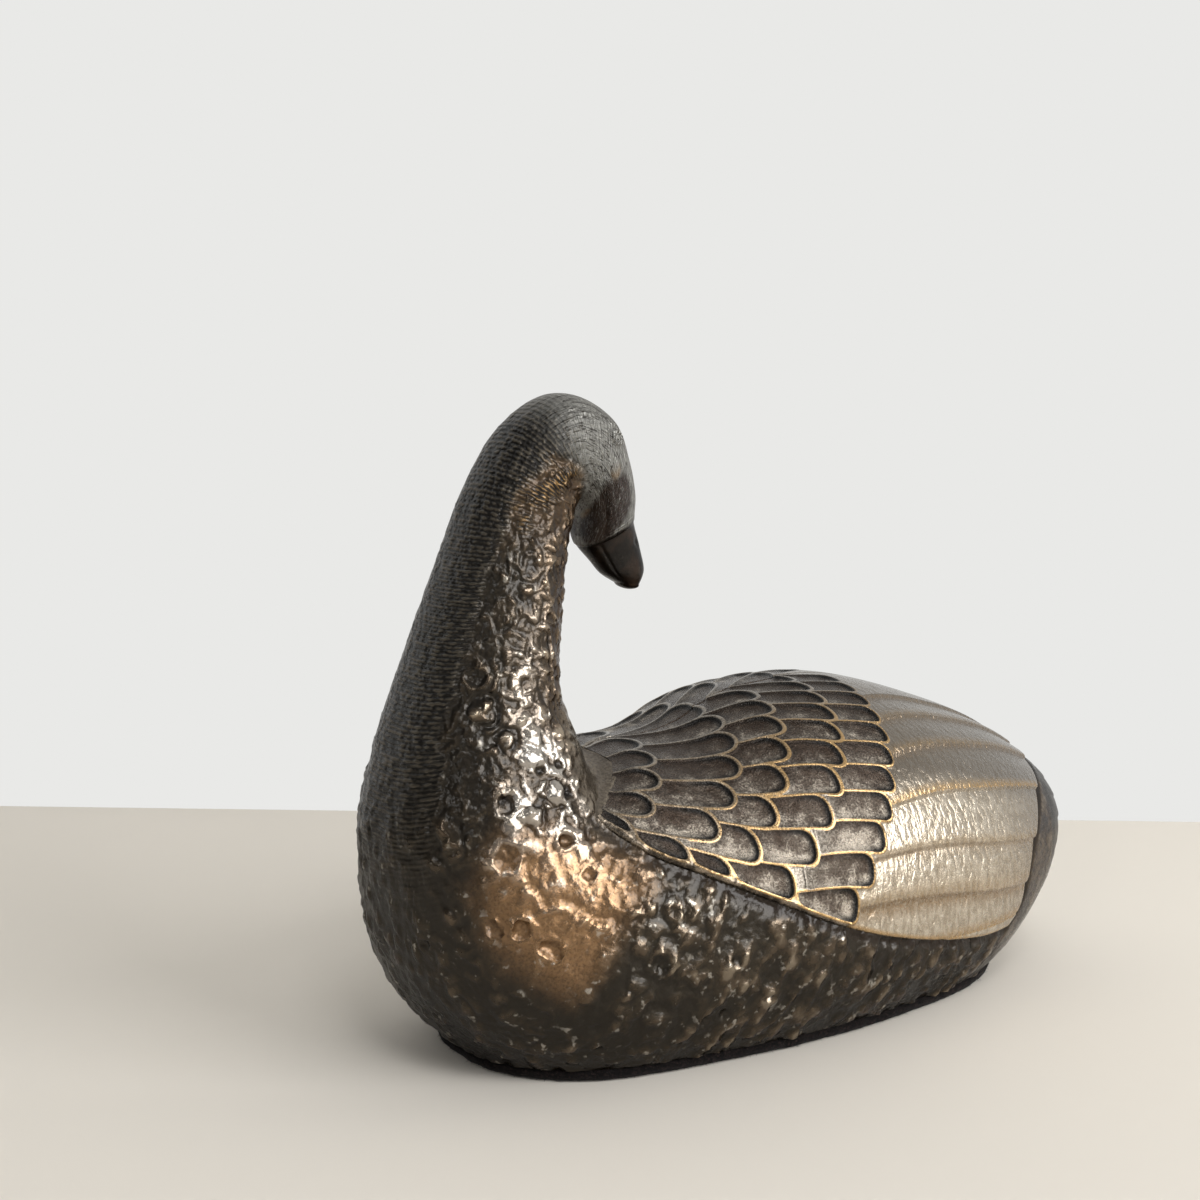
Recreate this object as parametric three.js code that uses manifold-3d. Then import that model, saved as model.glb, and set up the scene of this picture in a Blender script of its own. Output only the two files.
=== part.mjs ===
// A metal waterfowl figure with a long hooked neck, cast in pieces and joined:
// a hollow body open below, a hollow neck with its head, two wing plates,
// a steel base plate held by four screws, and a felt pad glued under it.
// Millimetres, +Z up. The breast faces -X, the tail +X, the left wing -Y.
// The origin lies under the middle of the figure, on the surface that it stands on.

import * as THREE from "three";
import { mergeVertices } from "three/addons/utils/BufferGeometryUtils.js";
import Module from "manifold-3d";

const wasm = await Module();
wasm.setup();

// Overall sizes of the figure
const FIGURE_LENGTH = 219;
const BODY_WIDTH = 105;
const FIGURE_HEIGHT = 166.5;

// The outer form, one section a row, from the tail to the bill. Each section is a
// flat oval: the point on the back or throat line, the point on the keel, breast or
// crown line, and half of its width. The points are in hundredths of the figure's
// length and height, and the half widths in hundredths of the body's width.
const SECTIONS = [
  { at: "tail tip", back: [50, 25.2], keel: [49.8, 20.4], half: 5.7 },
  { at: "tail root", back: [48.2, 32.7], keel: [45.4, 10.2], half: 22.9 },
  { at: "rump", back: [39.3, 40.5], keel: [36.3, 0], half: 34.3 },
  { at: "rear of back", back: [27.9, 46.8], keel: [25.6, -5.4], half: 42.9 },
  { at: "back", back: [13.2, 52], keel: [13.2, -7.5], half: 48.1 },
  { at: "shoulders", back: [-0.9, 51.4], keel: [-0.5, -7.8], half: 50 },
  { at: "front of back", back: [-11.4, 46.5], keel: [-14.6, -7.8], half: 46.7 },
  { at: "saddle", back: [-20.8, 45.6], keel: [-32.4, -4.8], half: 41.9 },
  { at: "breast", back: [-25.6, 45], keel: [-46.1, 10.8], half: 35.2 },
  { at: "upper breast", back: [-26.7, 49.8], keel: [-50, 31.8], half: 28.6 },
  { at: "neck root", back: [-28.3, 56.5], keel: [-48.4, 47.4], half: 22.4 },
  { at: "lower neck", back: [-27.9, 64.3], keel: [-44.7, 62.2], half: 18.1 },
  { at: "neck", back: [-26.7, 76.3], keel: [-40.4, 76.6], half: 15.2 },
  { at: "upper neck", back: [-26, 79.9], keel: [-37.4, 86.2], half: 13.8 },
  { at: "nape", back: [-25.3, 82.9], keel: [-32.9, 95.2], half: 12.9 },
  { at: "top of hook", back: [-24.7, 83.5], keel: [-26.7, 100], half: 12.4 },
  { at: "crown", back: [-24, 82.6], keel: [-21, 97.3], half: 11.9 },
  { at: "cheeks", back: [-23.5, 80.8], keel: [-18.3, 91], half: 11 },
  { at: "forehead", back: [-23.5, 78.7], keel: [-16.9, 85.3], half: 9.5 },
  { at: "bill base", back: [-23.3, 76.6], keel: [-16.4, 80.8], half: 7.1 },
  { at: "bill", back: [-21.7, 74.2], keel: [-15.3, 76.6], half: 5.7 },
  { at: "bill front", back: [-20.1, 72.1], keel: [-14.6, 72.7], half: 4.8 },
  { at: "bill tip", back: [-18, 70.6], keel: [-15.3, 70.3], half: 3.3 },
];
const BACK_ROUNDNESS = 2.2;
const BELLY_ROUNDNESS = 2.4;

// Castings
const BODY_WALL = 4;
const NECK_WALL = 3;
const SEAM_GAP = 0.3;
const SPIGOT_LENGTH = 8;
const SPIGOT_CLEARANCE = 0.3;

// Base: felt, glue, plate and screws
const FELT_THICKNESS = 3;
const FELT_INSET = 0.8;
const GLUE_FILM = 0.2;
const PLATE_THICKNESS = 1.5;
const PLATE_RIM = 2;
const PLATE_CLEARANCE = 0.35;
const SCREW_PITCH = 120;
const SCREWS_AFT = 2;
const SCREW_EDGE_DISTANCE = 10;
const SCREW_SHANK = 3.5;
const SCREW_HEAD = 6.8;
const SCREW_HEAD_DEPTH = 1.4;
const SCREW_LENGTH = 9;
const SCREW_SLOT = 0.9;
const SCREW_SLOT_DEPTH = 0.6;
const SCREW_CLEARANCE = 0.3;
const BOSS_DIAMETER = 10;
const BOSS_HEIGHT = 11;
const BOSS_WEB = 4;

// Wing plates
const WING_PROUD = 1;
const WING_SUNK = 1.6;
const WING_CLEARANCE = 0.3;
const LID = 1.5;
// Outline from the side, in hundredths of the figure's length and height
const WING_FRONT_EDGE = [[-22.8, 44.4], [-30.1, 39]];
const WING_LOWER_EDGE = [[-25.6, 33.9], [-18.3, 29.4], [-10, 24.3], [0, 18.6], [11, 14.4], [21.9, 11.7], [28.8, 11.4]];
const WING_REAR_EDGE = [[32, 15], [34.2, 22.2], [37.4, 28.5], [41.6, 34.5], [44.3, 39.6]];

// Covert feathers: each column has the place of its tips at the ridge and at the
// lower edge, in hundredths of the figure's length, the clock angle of its first
// feather from the ridge, the angle from one feather to the next, their count, and
// how they lean, in degrees a millimetre.
const COVERTS = [
  { ridge: -17.4, low: -26.5, first: 8, step: 11.3, count: 5, lean: 0.1 },
  { ridge: -6.4, low: -21, first: 2, step: 10, count: 7, lean: 0.25 },
  { ridge: -0.5, low: -16.4, first: 8.8, step: 8.8, count: 8, lean: 0.5 },
  { ridge: 6.8, low: -9.1, first: 4.4, step: 8, count: 10, lean: 0.5 },
  { ridge: 12.8, low: -0.9, first: 8.4, step: 8, count: 11, lean: 0.3 },
];
const FIRST_COVERT_LENGTH = 11;
const COVERT_OVERLAP = 7;
const COVERT_TIP_ROUND = 5;
const COVERT_SWEEP = 2.2;
const COVERT_ROOT_DEPTH = 0.2;
const COVERT_TIP_DEPTH = 1.3;
const COVERT_RIM = 0.85;

// Long primaries: clock angles of their upper edges at the front and at the rear,
// and where their cuts begin and end in hundredths of the figure's length
const PRIMARIES = [[29, 6], [40.5, 18], [53, 33], [66, 55], [77, 80], [88.5, 95], [103, 104]];
const PRIMARY_FRONT = -2.7;
const PRIMARY_REAR = 47.5;
const PRIMARY_STEP = 0.9;

// Eyes
const EYE_SIZE = { long: 4.4, wide: 3, proud: 0.5 };
const EYE_BEHIND_CROWN = 0.1;
const EYE_CLOCK = 118;

// Counts of facets: rings along a form and sides around it
const BODY_FACETS = { rings: 22, sides: 24 };
const WING_FACETS = { rings: 12, sides: 24 };
const BASE_FACETS = { rings: 14, sides: 24 };
const NECK_FACETS = { rings: 28, sides: 18 };
const HOLLOW_FACETS = { rings: 10, sides: 16 };
const SPIGOT_FACETS = { rings: 4, sides: 24 };
const ROUND_SIDES = 14;
const TIP_SIDES = 4;
const PRIMARY_ROWS = 5;

const FULL_TURN = 360;
const sectionIndex = (name) => SECTIONS.findIndex((section) => section.at === name);
const TAIL_ROOT = sectionIndex("tail root");
const BREAST = sectionIndex("breast");
const NECK_SEAM = sectionIndex("neck root");
const NECK_HOLLOW_END = sectionIndex("upper neck");
const CROWN = sectionIndex("crown");
const LAST_SECTION = SECTIONS.length - 1;

// Real places of the shares above
const lengthwise = (share) => (share / 100) * FIGURE_LENGTH;
const upward = (share) => (share / 100) * FIGURE_HEIGHT;
const sideView = ([along, up]) => new THREE.Vector2(lengthwise(along), upward(up));

// Materials
const bronze = new THREE.MeshStandardMaterial({ color: 0x4a4034, metalness: 0.9, roughness: 0.38 });
const wingBronze = new THREE.MeshStandardMaterial({ color: 0x6b5c46, metalness: 0.9, roughness: 0.42 });
const steel = new THREE.MeshStandardMaterial({ color: 0x8a8c8e, metalness: 0.9, roughness: 0.4 });
const zincSteel = new THREE.MeshStandardMaterial({ color: 0xa9abac, metalness: 0.9, roughness: 0.35 });
const felt = new THREE.MeshStandardMaterial({ color: 0x1d1613, metalness: 0, roughness: 0.95 });

// Smooth lines through the sections
const sectionSizes = SECTIONS.map(({ back, keel, half }) => [
  ...sideView(back).toArray(), ...sideView(keel).toArray(), (half / 100) * BODY_WIDTH]);
const alongBird = new THREE.CubicInterpolant(
  SECTIONS.map((section, index) => index), sectionSizes.flat(), sectionSizes[0].length);

function sectionAt(place, inset = 0) {
  const [backX, backZ, keelX, keelZ, half] = alongBird.evaluate(THREE.MathUtils.clamp(place, 0, LAST_SECTION));
  const back = new THREE.Vector2(backX, backZ);
  const keel = new THREE.Vector2(keelX, keelZ);
  const move = keel.clone().sub(back).setLength(inset);
  return { back: back.add(move), keel: keel.sub(move), half: Math.max(half - inset, 0.5) };
}

// A point of a section: the clock angle is 0 on the back line, 90 on the left
// flank, 180 on the keel line and 270 on the right flank.
function pointAt(section, clock) {
  const angle = THREE.MathUtils.degToRad(clock);
  const up = Math.cos(angle);
  const out = Math.sin(angle);
  const roundness = up >= 0 ? BACK_ROUNDNESS : BELLY_ROUNDNESS;
  const share = 0.5 + 0.5 * Math.sign(up) * Math.abs(up) ** (2 / roundness);
  const across = Math.sign(out) * Math.abs(out) ** (2 / roundness);
  const middle = section.keel.clone().lerp(section.back, share);
  return new THREE.Vector3(middle.x, -section.half * across, middle.y);
}

// The place along the sections where the surface reaches x at a clock angle
function placeAtX(x, clock) {
  let low = 0;
  let high = BREAST + 1;
  for (let turn = 0; turn < 30; turn += 1) {
    const middle = (low + high) / 2;
    if (pointAt(sectionAt(middle), clock).x > x) low = middle;
    else high = middle;
  }
  return (low + high) / 2;
}

function surfaceAt(x, clock, height) {
  return pointAt(sectionAt(placeAtX(x, clock), -height), clock);
}

// Closed mesh from rings of equal length; its two ends are closed by fans.
function skinRings(rings) {
  const count = rings[0].length;
  const positions = [];
  const triangles = [];
  rings.forEach((ring) => ring.forEach((point) => positions.push(point.x, point.y, point.z)));
  for (let row = 0; row < rings.length - 1; row += 1) {
    for (let i = 0; i < count; i += 1) {
      const a = row * count + i;
      const b = row * count + ((i + 1) % count);
      triangles.push(a, b, b + count, a, b + count, a + count);
    }
  }
  [0, rings.length - 1].forEach((row) => {
    const centre = rings[row].reduce((sum, point) => sum.add(point), new THREE.Vector3());
    centre.divideScalar(count);
    const hub = positions.length / 3;
    positions.push(centre.x, centre.y, centre.z);
    for (let i = 0; i < count; i += 1) {
      const a = row * count + i;
      const b = row * count + ((i + 1) % count);
      if (row === 0) triangles.push(hub, b, a);
      else triangles.push(hub, a, b);
    }
  });
  const geometry = new THREE.BufferGeometry();
  geometry.setAttribute("position", new THREE.Float32BufferAttribute(positions, 3));
  geometry.setIndex(triangles);
  return geometry;
}

function loft(inset, from, to, facets) {
  const rings = Array.from({ length: facets.rings }, (_, row) => {
    const section = sectionAt(THREE.MathUtils.lerp(from, to, row / (facets.rings - 1)), inset);
    return Array.from({ length: facets.sides }, (__, i) => pointAt(section, (i * FULL_TURN) / facets.sides));
  });
  return solid(skinRings(rings));
}

// three.js geometry to a solid that can be cut and joined, faces pointing out
function solid(geometry) {
  const bare = geometry.clone();
  Object.keys(bare.attributes).filter((name) => name !== "position").forEach((name) => bare.deleteAttribute(name));
  const merged = mergeVertices(bare, 1e-4);
  const vertProperties = new Float32Array(merged.attributes.position.array);
  const triVerts = new Uint32Array(merged.index.array);
  if (signedVolume(vertProperties, triVerts) < 0) {
    for (let i = 0; i < triVerts.length; i += 3) [triVerts[i], triVerts[i + 1]] = [triVerts[i + 1], triVerts[i]];
  }
  return new wasm.Manifold(new wasm.Mesh({ numProp: 3, vertProperties, triVerts }));
}

function signedVolume(points, triangles) {
  const corner = (index) => new THREE.Vector3().fromArray(points, triangles[index] * 3);
  let sum = 0;
  for (let i = 0; i < triangles.length; i += 3) {
    sum += corner(i).dot(corner(i + 1).cross(corner(i + 2)));
  }
  return sum / 6;
}

function joined(solids) {
  return solids.reduce((sum, next) => sum.add(next));
}

function slab(bottom, top) {
  const reach = 2 * FIGURE_LENGTH;
  const geometry = new THREE.BoxGeometry(reach, reach, top - bottom);
  geometry.translate(0, 0, (top + bottom) / 2);
  return solid(geometry);
}

function mesh(name, shape, material) {
  const { vertProperties, triVerts } = shape.getMesh();
  const geometry = new THREE.BufferGeometry();
  geometry.setAttribute("position", new THREE.BufferAttribute(new Float32Array(vertProperties), 3));
  geometry.setIndex(new THREE.BufferAttribute(new Uint32Array(triVerts), 1));
  geometry.computeVertexNormals();
  const piece = new THREE.Mesh(geometry, material);
  piece.name = name;
  return piece;
}

// Levels of the base
const castingBottom = FELT_THICKNESS + GLUE_FILM;
const plateTop = castingBottom + PLATE_THICKNESS;
const ledge = plateTop + GLUE_FILM;
const farBelow = -FIGURE_HEIGHT;
const farAbove = 2 * FIGURE_HEIGHT;

// Half of the body's width where a level cuts it at x
function halfWidthAt(x, level) {
  let widest = 0;
  for (let clock = 90; clock <= 170; clock += 1) {
    const point = pointAt(sectionAt(placeAtX(x, clock)), clock);
    if (point.z > level) widest = -point.y;
  }
  return widest;
}

const screwPlaces = [-SCREW_PITCH / 2, SCREW_PITCH / 2].flatMap((fromMiddle) => {
  const x = SCREWS_AFT + fromMiddle;
  const y = halfWidthAt(x, ledge) - SCREW_EDGE_DISTANCE;
  return [[x, -y], [x, y]];
});

// Bosses for the base screws, each tied to the side wall by a web
function boss([x, y]) {
  const post = new THREE.CylinderGeometry(BOSS_DIAMETER / 2, BOSS_DIAMETER / 2, BOSS_HEIGHT, ROUND_SIDES);
  post.rotateX(Math.PI / 2);
  post.translate(x, y, ledge + BOSS_HEIGHT / 2);
  const reach = SCREW_EDGE_DISTANCE + BODY_WALL;
  const web = new THREE.BoxGeometry(BOSS_WEB, reach, BOSS_HEIGHT);
  web.translate(x, y + (Math.sign(y) * reach) / 2, ledge + BOSS_HEIGHT / 2);
  return solid(post).add(solid(web)).intersect(loft(BODY_WALL / 3, TAIL_ROOT, NECK_SEAM, BODY_FACETS));
}

function roundHole([x, y], diameter, from, to) {
  const hole = new THREE.CylinderGeometry(diameter / 2, diameter / 2, to - from, ROUND_SIDES);
  hole.rotateX(Math.PI / 2);
  hole.translate(x, y, (from + to) / 2);
  return solid(hole);
}

// Countersunk screw seen from below: its flat head is flush with the plate.
// A clearance makes the hole that it sits in.
function screwShape([x, y], clearance = 0) {
  const headRadius = SCREW_HEAD / 2 + clearance;
  const shankRadius = SCREW_SHANK / 2 + clearance;
  const tipLength = SCREW_SHANK / 2;
  const profile = [
    [0, -clearance], [headRadius, -clearance], [headRadius, clearance],
    [shankRadius, SCREW_HEAD_DEPTH + clearance], [shankRadius, SCREW_LENGTH - tipLength],
    [0, SCREW_LENGTH + clearance],
  ].map(([radius, height]) => new THREE.Vector2(radius, height));
  const turned = new THREE.LatheGeometry(profile, ROUND_SIDES);
  turned.rotateX(Math.PI / 2);
  turned.translate(x, y, castingBottom);
  return solid(turned);
}

function baseScrew(place) {
  const slot = new THREE.BoxGeometry(SCREW_HEAD * 2, SCREW_SLOT, SCREW_SLOT_DEPTH * 2);
  slot.translate(place[0], place[1], castingBottom);
  return screwShape(place).subtract(solid(slot));
}

// Wing outline seen from the side, grown outwards by a margin
function wingOutline(margin) {
  const [ridgeFront, shoulder] = WING_FRONT_EDGE.map(sideView);
  const lower = new THREE.SplineCurve([shoulder, ...WING_LOWER_EDGE.map(sideView)]);
  const rear = new THREE.SplineCurve(WING_REAR_EDGE.map(sideView));
  const ridgeRear = rear.points.at(-1);
  const points = [
    new THREE.Vector2(ridgeRear.x + WING_PROUD, FIGURE_HEIGHT),
    new THREE.Vector2(ridgeFront.x, FIGURE_HEIGHT),
    ridgeFront,
    ...lower.getPoints(22), ...rear.getPoints(12),
  ];
  const count = points.length;
  const grown = points.map((point, i) => {
    const before = point.clone().sub(points[(i + count - 1) % count]).normalize();
    const after = points[(i + 1) % count].clone().sub(point).normalize();
    const mitre = before.clone().add(after).divideScalar(1 + before.dot(after));
    return point.clone().add(new THREE.Vector2(mitre.y, -mitre.x).multiplyScalar(margin));
  });
  return new THREE.Shape(grown);
}

function wingBlock(margin, from, to) {
  const geometry = new THREE.ExtrudeGeometry(wingOutline(margin), { depth: to - from, bevelEnabled: false });
  geometry.rotateX(Math.PI / 2);
  geometry.translate(0, to, 0);
  return solid(geometry);
}

// Skin of the body between a height above it and a depth below it
function shell(outside, inside) {
  const outer = loft(-outside, TAIL_ROOT - 0.4, BREAST + 1.4, WING_FACETS);
  const inner = loft(inside, TAIL_ROOT - 0.5, BREAST + 1.5, WING_FACETS);
  return outer.subtract(inner);
}

// Rounded tongue of a covert feather in surface coordinates, grown by a rim
function tongue(column, index, rim) {
  const clock = column.first + column.step * index;
  const last = column.first + column.step * (column.count - 1);
  const sweep = (clock / last) ** COVERT_SWEEP;
  const tipX = lengthwise(THREE.MathUtils.lerp(column.ridge, column.low, sweep)) + rim;
  const growth = rim === 0 ? -COVERT_RIM / 2 : COVERT_RIM / 2;
  const half = column.step / 2 + (growth * column.step) / featherPitch(column, clock, tipX);
  const rounding = COVERT_TIP_ROUND + rim;
  const root = [-half, half].map((across) => [covertLength(column), across]);
  const arc = Array.from({ length: TIP_SIDES + 1 }, (_, i) => {
    const turn = Math.PI * (0.5 - i / TIP_SIDES);
    return [rounding - rounding * Math.cos(turn), half * Math.sin(turn)];
  });
  return [...root, ...arc].map(([fromTip, across]) => (
    { x: tipX - fromTip, clock: clock + across - column.lean * fromTip, fromTip }));
}

// A feather reaches from its tip to under the column in front of its own
function covertLength(column) {
  const ahead = COVERTS[COVERTS.indexOf(column) - 1];
  return ahead ? lengthwise(column.ridge - ahead.ridge) + COVERT_OVERLAP : FIRST_COVERT_LENGTH;
}

function featherPitch(column, clock, x) {
  const a = surfaceAt(x, Math.max(clock - column.step / 2, 0), 0);
  const b = surfaceAt(x, clock + column.step / 2, 0);
  return a.distanceTo(b);
}

// Solid between a height above the wing and a floor that slants along the feather
function cutter(outline, depthAt) {
  const lid = outline.map((point) => surfaceAt(point.x, point.clock, WING_PROUD + LID));
  const floor = outline.map((point) => surfaceAt(point.x, point.clock, WING_PROUD - depthAt(point)));
  return solid(skinRings([floor, lid]));
}

function covertCutters(column, rim) {
  const depthAt = ({ fromTip }) => THREE.MathUtils.mapLinear(
    fromTip, covertLength(column), 0, COVERT_ROOT_DEPTH, COVERT_TIP_DEPTH);
  const deep = () => COVERT_TIP_DEPTH * 2;
  return joined(Array.from({ length: column.count }, (_, index) =>
    cutter(tongue(column, index, rim), rim === 0 ? depthAt : deep)));
}

// Primaries overlap like roof tiles: each cut is deepest under the feather above
function primaryCutters() {
  return joined(PRIMARIES.slice(0, -1).map((upper, index) => {
    const lower = PRIMARIES[index + 1];
    const rings = Array.from({ length: PRIMARY_ROWS }, (_, row) => {
      const x = lengthwise(THREE.MathUtils.lerp(PRIMARY_FRONT, PRIMARY_REAR, row / (PRIMARY_ROWS - 1)));
      const top = THREE.MathUtils.lerp(upper[0], upper[1], row / (PRIMARY_ROWS - 1));
      const bottom = THREE.MathUtils.lerp(lower[0], lower[1], row / (PRIMARY_ROWS - 1));
      const depths = [[top, PRIMARY_STEP], [(top + bottom) / 2, PRIMARY_STEP / 2], [bottom, 0]];
      const floor = depths.map(([clock, depth]) => surfaceAt(x, clock, WING_PROUD - depth));
      const lid = depths.map(([clock]) => surfaceAt(x, clock, WING_PROUD + LID)).reverse();
      return [...floor, ...lid];
    });
    return solid(skinRings(rings));
  }));
}

function wing() {
  const plate = shell(WING_PROUD, WING_SUNK).intersect(wingBlock(0, -BODY_WIDTH, -WING_CLEARANCE / 2));
  const cuts = COVERTS.map((column, index) => {
    const pockets = covertCutters(column, 0);
    return index === 0 ? pockets : pockets.subtract(covertCutters(COVERTS[index - 1], COVERT_RIM));
  });
  const primaries = primaryCutters().subtract(covertCutters(COVERTS.at(-1), COVERT_RIM));
  return plate.subtract(joined(cuts)).subtract(primaries);
}

function mirrored(shape) {
  const { vertProperties, triVerts } = shape.getMesh();
  const flipped = new Float32Array(vertProperties);
  for (let i = 1; i < flipped.length; i += 3) flipped[i] = -flipped[i];
  const geometry = new THREE.BufferGeometry();
  geometry.setAttribute("position", new THREE.BufferAttribute(flipped, 3));
  geometry.setIndex(new THREE.BufferAttribute(new Uint32Array(triVerts), 1));
  return solid(geometry);
}

// The round shape of the neck's spigot, or of its socket
function spigotForm(inset) {
  const backRun = sectionAt(NECK_SEAM).back.distanceTo(sectionAt(NECK_SEAM - 1).back);
  return loft(inset, NECK_SEAM - SPIGOT_LENGTH / backRun, NECK_SEAM + 0.2, SPIGOT_FACETS);
}

function bodyCasting() {
  const outer = loft(0, 0, NECK_SEAM, BODY_FACETS);
  const hollow = loft(BODY_WALL, TAIL_ROOT + 0.4, NECK_SEAM - 0.2, HOLLOW_FACETS)
    .add(spigotForm(BODY_WALL));
  const rebate = loft(PLATE_RIM, TAIL_ROOT, BREAST + 1, BASE_FACETS).intersect(slab(farBelow, ledge));
  const seats = shell(WING_PROUD + LID, WING_SUNK + WING_CLEARANCE)
    .intersect(wingBlock(WING_CLEARANCE, -BODY_WIDTH, BODY_WIDTH));
  const bosses = joined(screwPlaces.map(boss));
  const bores = joined(screwPlaces.map((place) => screwShape(place, SCREW_CLEARANCE)));
  return outer.subtract(hollow).add(bosses).subtract(seats).subtract(rebate).subtract(bores)
    .intersect(slab(castingBottom, farAbove));
}

// The neck is hollow up to its bend and enters the body by a spigot
function neckAndHeadCasting() {
  const backRun = sectionAt(NECK_SEAM + 1).back.distanceTo(sectionAt(NECK_SEAM).back);
  const outer = loft(0, NECK_SEAM + SEAM_GAP / backRun, LAST_SECTION, NECK_FACETS);
  const spigotInset = BODY_WALL + SPIGOT_CLEARANCE;
  const hollow = loft(spigotInset + NECK_WALL, BREAST + 1, NECK_HOLLOW_END, HOLLOW_FACETS);
  const eyes = eye(EYE_CLOCK).add(eye(FULL_TURN - EYE_CLOCK));
  return outer.add(spigotForm(spigotInset)).subtract(hollow).add(eyes);
}

function eye(clock) {
  const place = pointAt(sectionAt(CROWN + EYE_BEHIND_CROWN), clock);
  const geometry = new THREE.SphereGeometry(1, 12, 8);
  geometry.scale(EYE_SIZE.wide / 2, EYE_SIZE.proud * 2, EYE_SIZE.long / 2);
  geometry.rotateZ(Math.sign(place.y) * THREE.MathUtils.degToRad(20));
  geometry.translate(place.x, place.y - Math.sign(place.y) * EYE_SIZE.proud, place.z);
  return solid(geometry);
}

function basePlate() {
  const outline = loft(PLATE_RIM + PLATE_CLEARANCE, TAIL_ROOT, BREAST + 1, BASE_FACETS);
  const sinks = joined(screwPlaces.map((place) => screwShape(place, SCREW_CLEARANCE)));
  return outline.intersect(slab(castingBottom, plateTop)).subtract(sinks);
}

function feltPad() {
  return loft(FELT_INSET, TAIL_ROOT, BREAST + 1, BASE_FACETS).intersect(slab(0, FELT_THICKNESS));
}

const leftWing = wing();
const figure = new THREE.Group();
figure.add(mesh("body_casting", bodyCasting(), bronze));
figure.add(mesh("neck_and_head_casting", neckAndHeadCasting(), bronze));
figure.add(mesh("left_wing_casting", leftWing, wingBronze));
figure.add(mesh("right_wing_casting", mirrored(leftWing), wingBronze));
figure.add(mesh("base_plate", basePlate(), steel));
screwPlaces.forEach((place, index) => {
  figure.add(mesh(`base_screw_${index + 1}`, baseScrew(place), zincSteel));
});
figure.add(mesh("felt_pad", feltPad(), felt));

export default figure;
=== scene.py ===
"""Cast bronze waterfowl figure on a felt pad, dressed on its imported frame.

All sizes are in millimetres and angles in degrees, and become metres when a
mesh is laid. The breast faces -X, the tail +X and the left wing -Y.
"""

from __future__ import annotations

import logging
import math
from collections.abc import Callable, Sequence
from dataclasses import dataclass, field
from enum import Enum
from functools import cached_property

import bpy
import numpy as np
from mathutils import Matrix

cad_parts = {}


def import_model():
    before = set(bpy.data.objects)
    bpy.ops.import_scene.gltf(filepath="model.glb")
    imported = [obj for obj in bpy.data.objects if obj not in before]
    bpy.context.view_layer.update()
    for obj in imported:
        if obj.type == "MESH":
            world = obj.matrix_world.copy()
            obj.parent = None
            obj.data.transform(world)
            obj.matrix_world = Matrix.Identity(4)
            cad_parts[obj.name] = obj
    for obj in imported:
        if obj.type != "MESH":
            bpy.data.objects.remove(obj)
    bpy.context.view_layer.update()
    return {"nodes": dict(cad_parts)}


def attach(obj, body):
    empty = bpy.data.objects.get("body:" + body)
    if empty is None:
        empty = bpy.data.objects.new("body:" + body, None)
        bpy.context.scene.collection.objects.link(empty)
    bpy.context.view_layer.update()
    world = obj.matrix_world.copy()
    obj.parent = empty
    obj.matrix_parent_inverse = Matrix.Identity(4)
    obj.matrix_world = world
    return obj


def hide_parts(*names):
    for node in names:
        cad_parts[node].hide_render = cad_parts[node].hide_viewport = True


LOG = logging.getLogger("waterfowl")
MM = 0.001
SAME_POINT = 0.004
FULL_TURN = 360.0
Array = np.ndarray
Point = tuple[float, float]
Place = tuple[float, float, float]
Piece = bpy.types.Object
Tree = bpy.types.NodeTree
Node = bpy.types.Node
Socket = bpy.types.NodeSocket
Inputs = dict[str | int, object] | tuple[object, ...]


class Side(Enum):
    """A flank of the bird, by its sign along Y."""

    LEFT = -1
    RIGHT = 1


# Small helpers for arrays


def ramp(value: Array, low: float, high: float) -> Array:
    """Goes smoothly from 0 at low to 1 at high."""
    share = np.clip((value - low) / (high - low), 0.0, 1.0)
    return share * share * (3.0 - 2.0 * share)


def fade(value: Array, low: float, high: float) -> Array:
    """Goes smoothly from 1 at low to 0 at high."""
    return 1.0 - ramp(value, low, high)


def hump(value: Array, middle: float, width: float) -> Array:
    """Is 1 at the middle and falls off like a bell of that width."""
    return np.exp(-(((value - middle) / width) ** 2))


def blend(low: Array | float, high: Array | float, share: Array | float) -> Array:
    """Mixes two values or arrays by a share from 0 to 1."""
    return low + (high - low) * share


def curve_through(knots: Array, place: Array) -> Array:
    """Follows a smooth line through knots.

    Args:
        knots: one row for each knot.
        place: places along the line, counted in knots.

    Returns:
        The values of the line at those places.
    """
    last = len(knots) - 1
    place = np.clip(place, 0.0, last)
    start = np.minimum(place.astype(int), last - 1)
    share = (place - start)[..., None]
    before = knots[np.where(start > 0, start - 1, 1)]
    after = knots[np.where(start + 2 <= last, start + 2, last - 1)]
    low, high = knots[start], knots[start + 1]
    square, cube = share**2, share**3
    return (
        (-0.5 * cube + square - 0.5 * share) * before
        + (1.5 * cube - 2.5 * square + 1.0) * low
        + (-1.5 * cube + 2.0 * square + 0.5 * share) * high
        + (0.5 * cube - 0.5 * square) * after
    )


def run_along(line: Array) -> Array:
    """Length of a line up to each of its points."""
    return np.concatenate([[0.0], np.cumsum(np.linalg.norm(np.diff(line, axis=0), axis=1))])


def points_at(line: Array, run: Array, steps: Array) -> Array:
    """Points of a line where the length along it reaches the steps."""
    return np.stack([np.interp(steps, run, values) for values in line.T], axis=1)


def halved(test: Callable[[Array], Array], low: Array, high: Array, rounds: int) -> Array:
    """Values between low and high where a test turns from true to false.

    Args:
        test: tells for an array of values where it holds.
        low: values at which the test holds.
        high: values at which it doesn't.
        rounds: how often the distance between both is halved.

    Returns:
        The values in the shape of low.
    """
    for _ in range(rounds):
        middle = (low + high) / 2.0
        holds = test(middle)
        low, high = np.where(holds, middle, low), np.where(holds, high, middle)
    return (low + high) / 2.0


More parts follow.
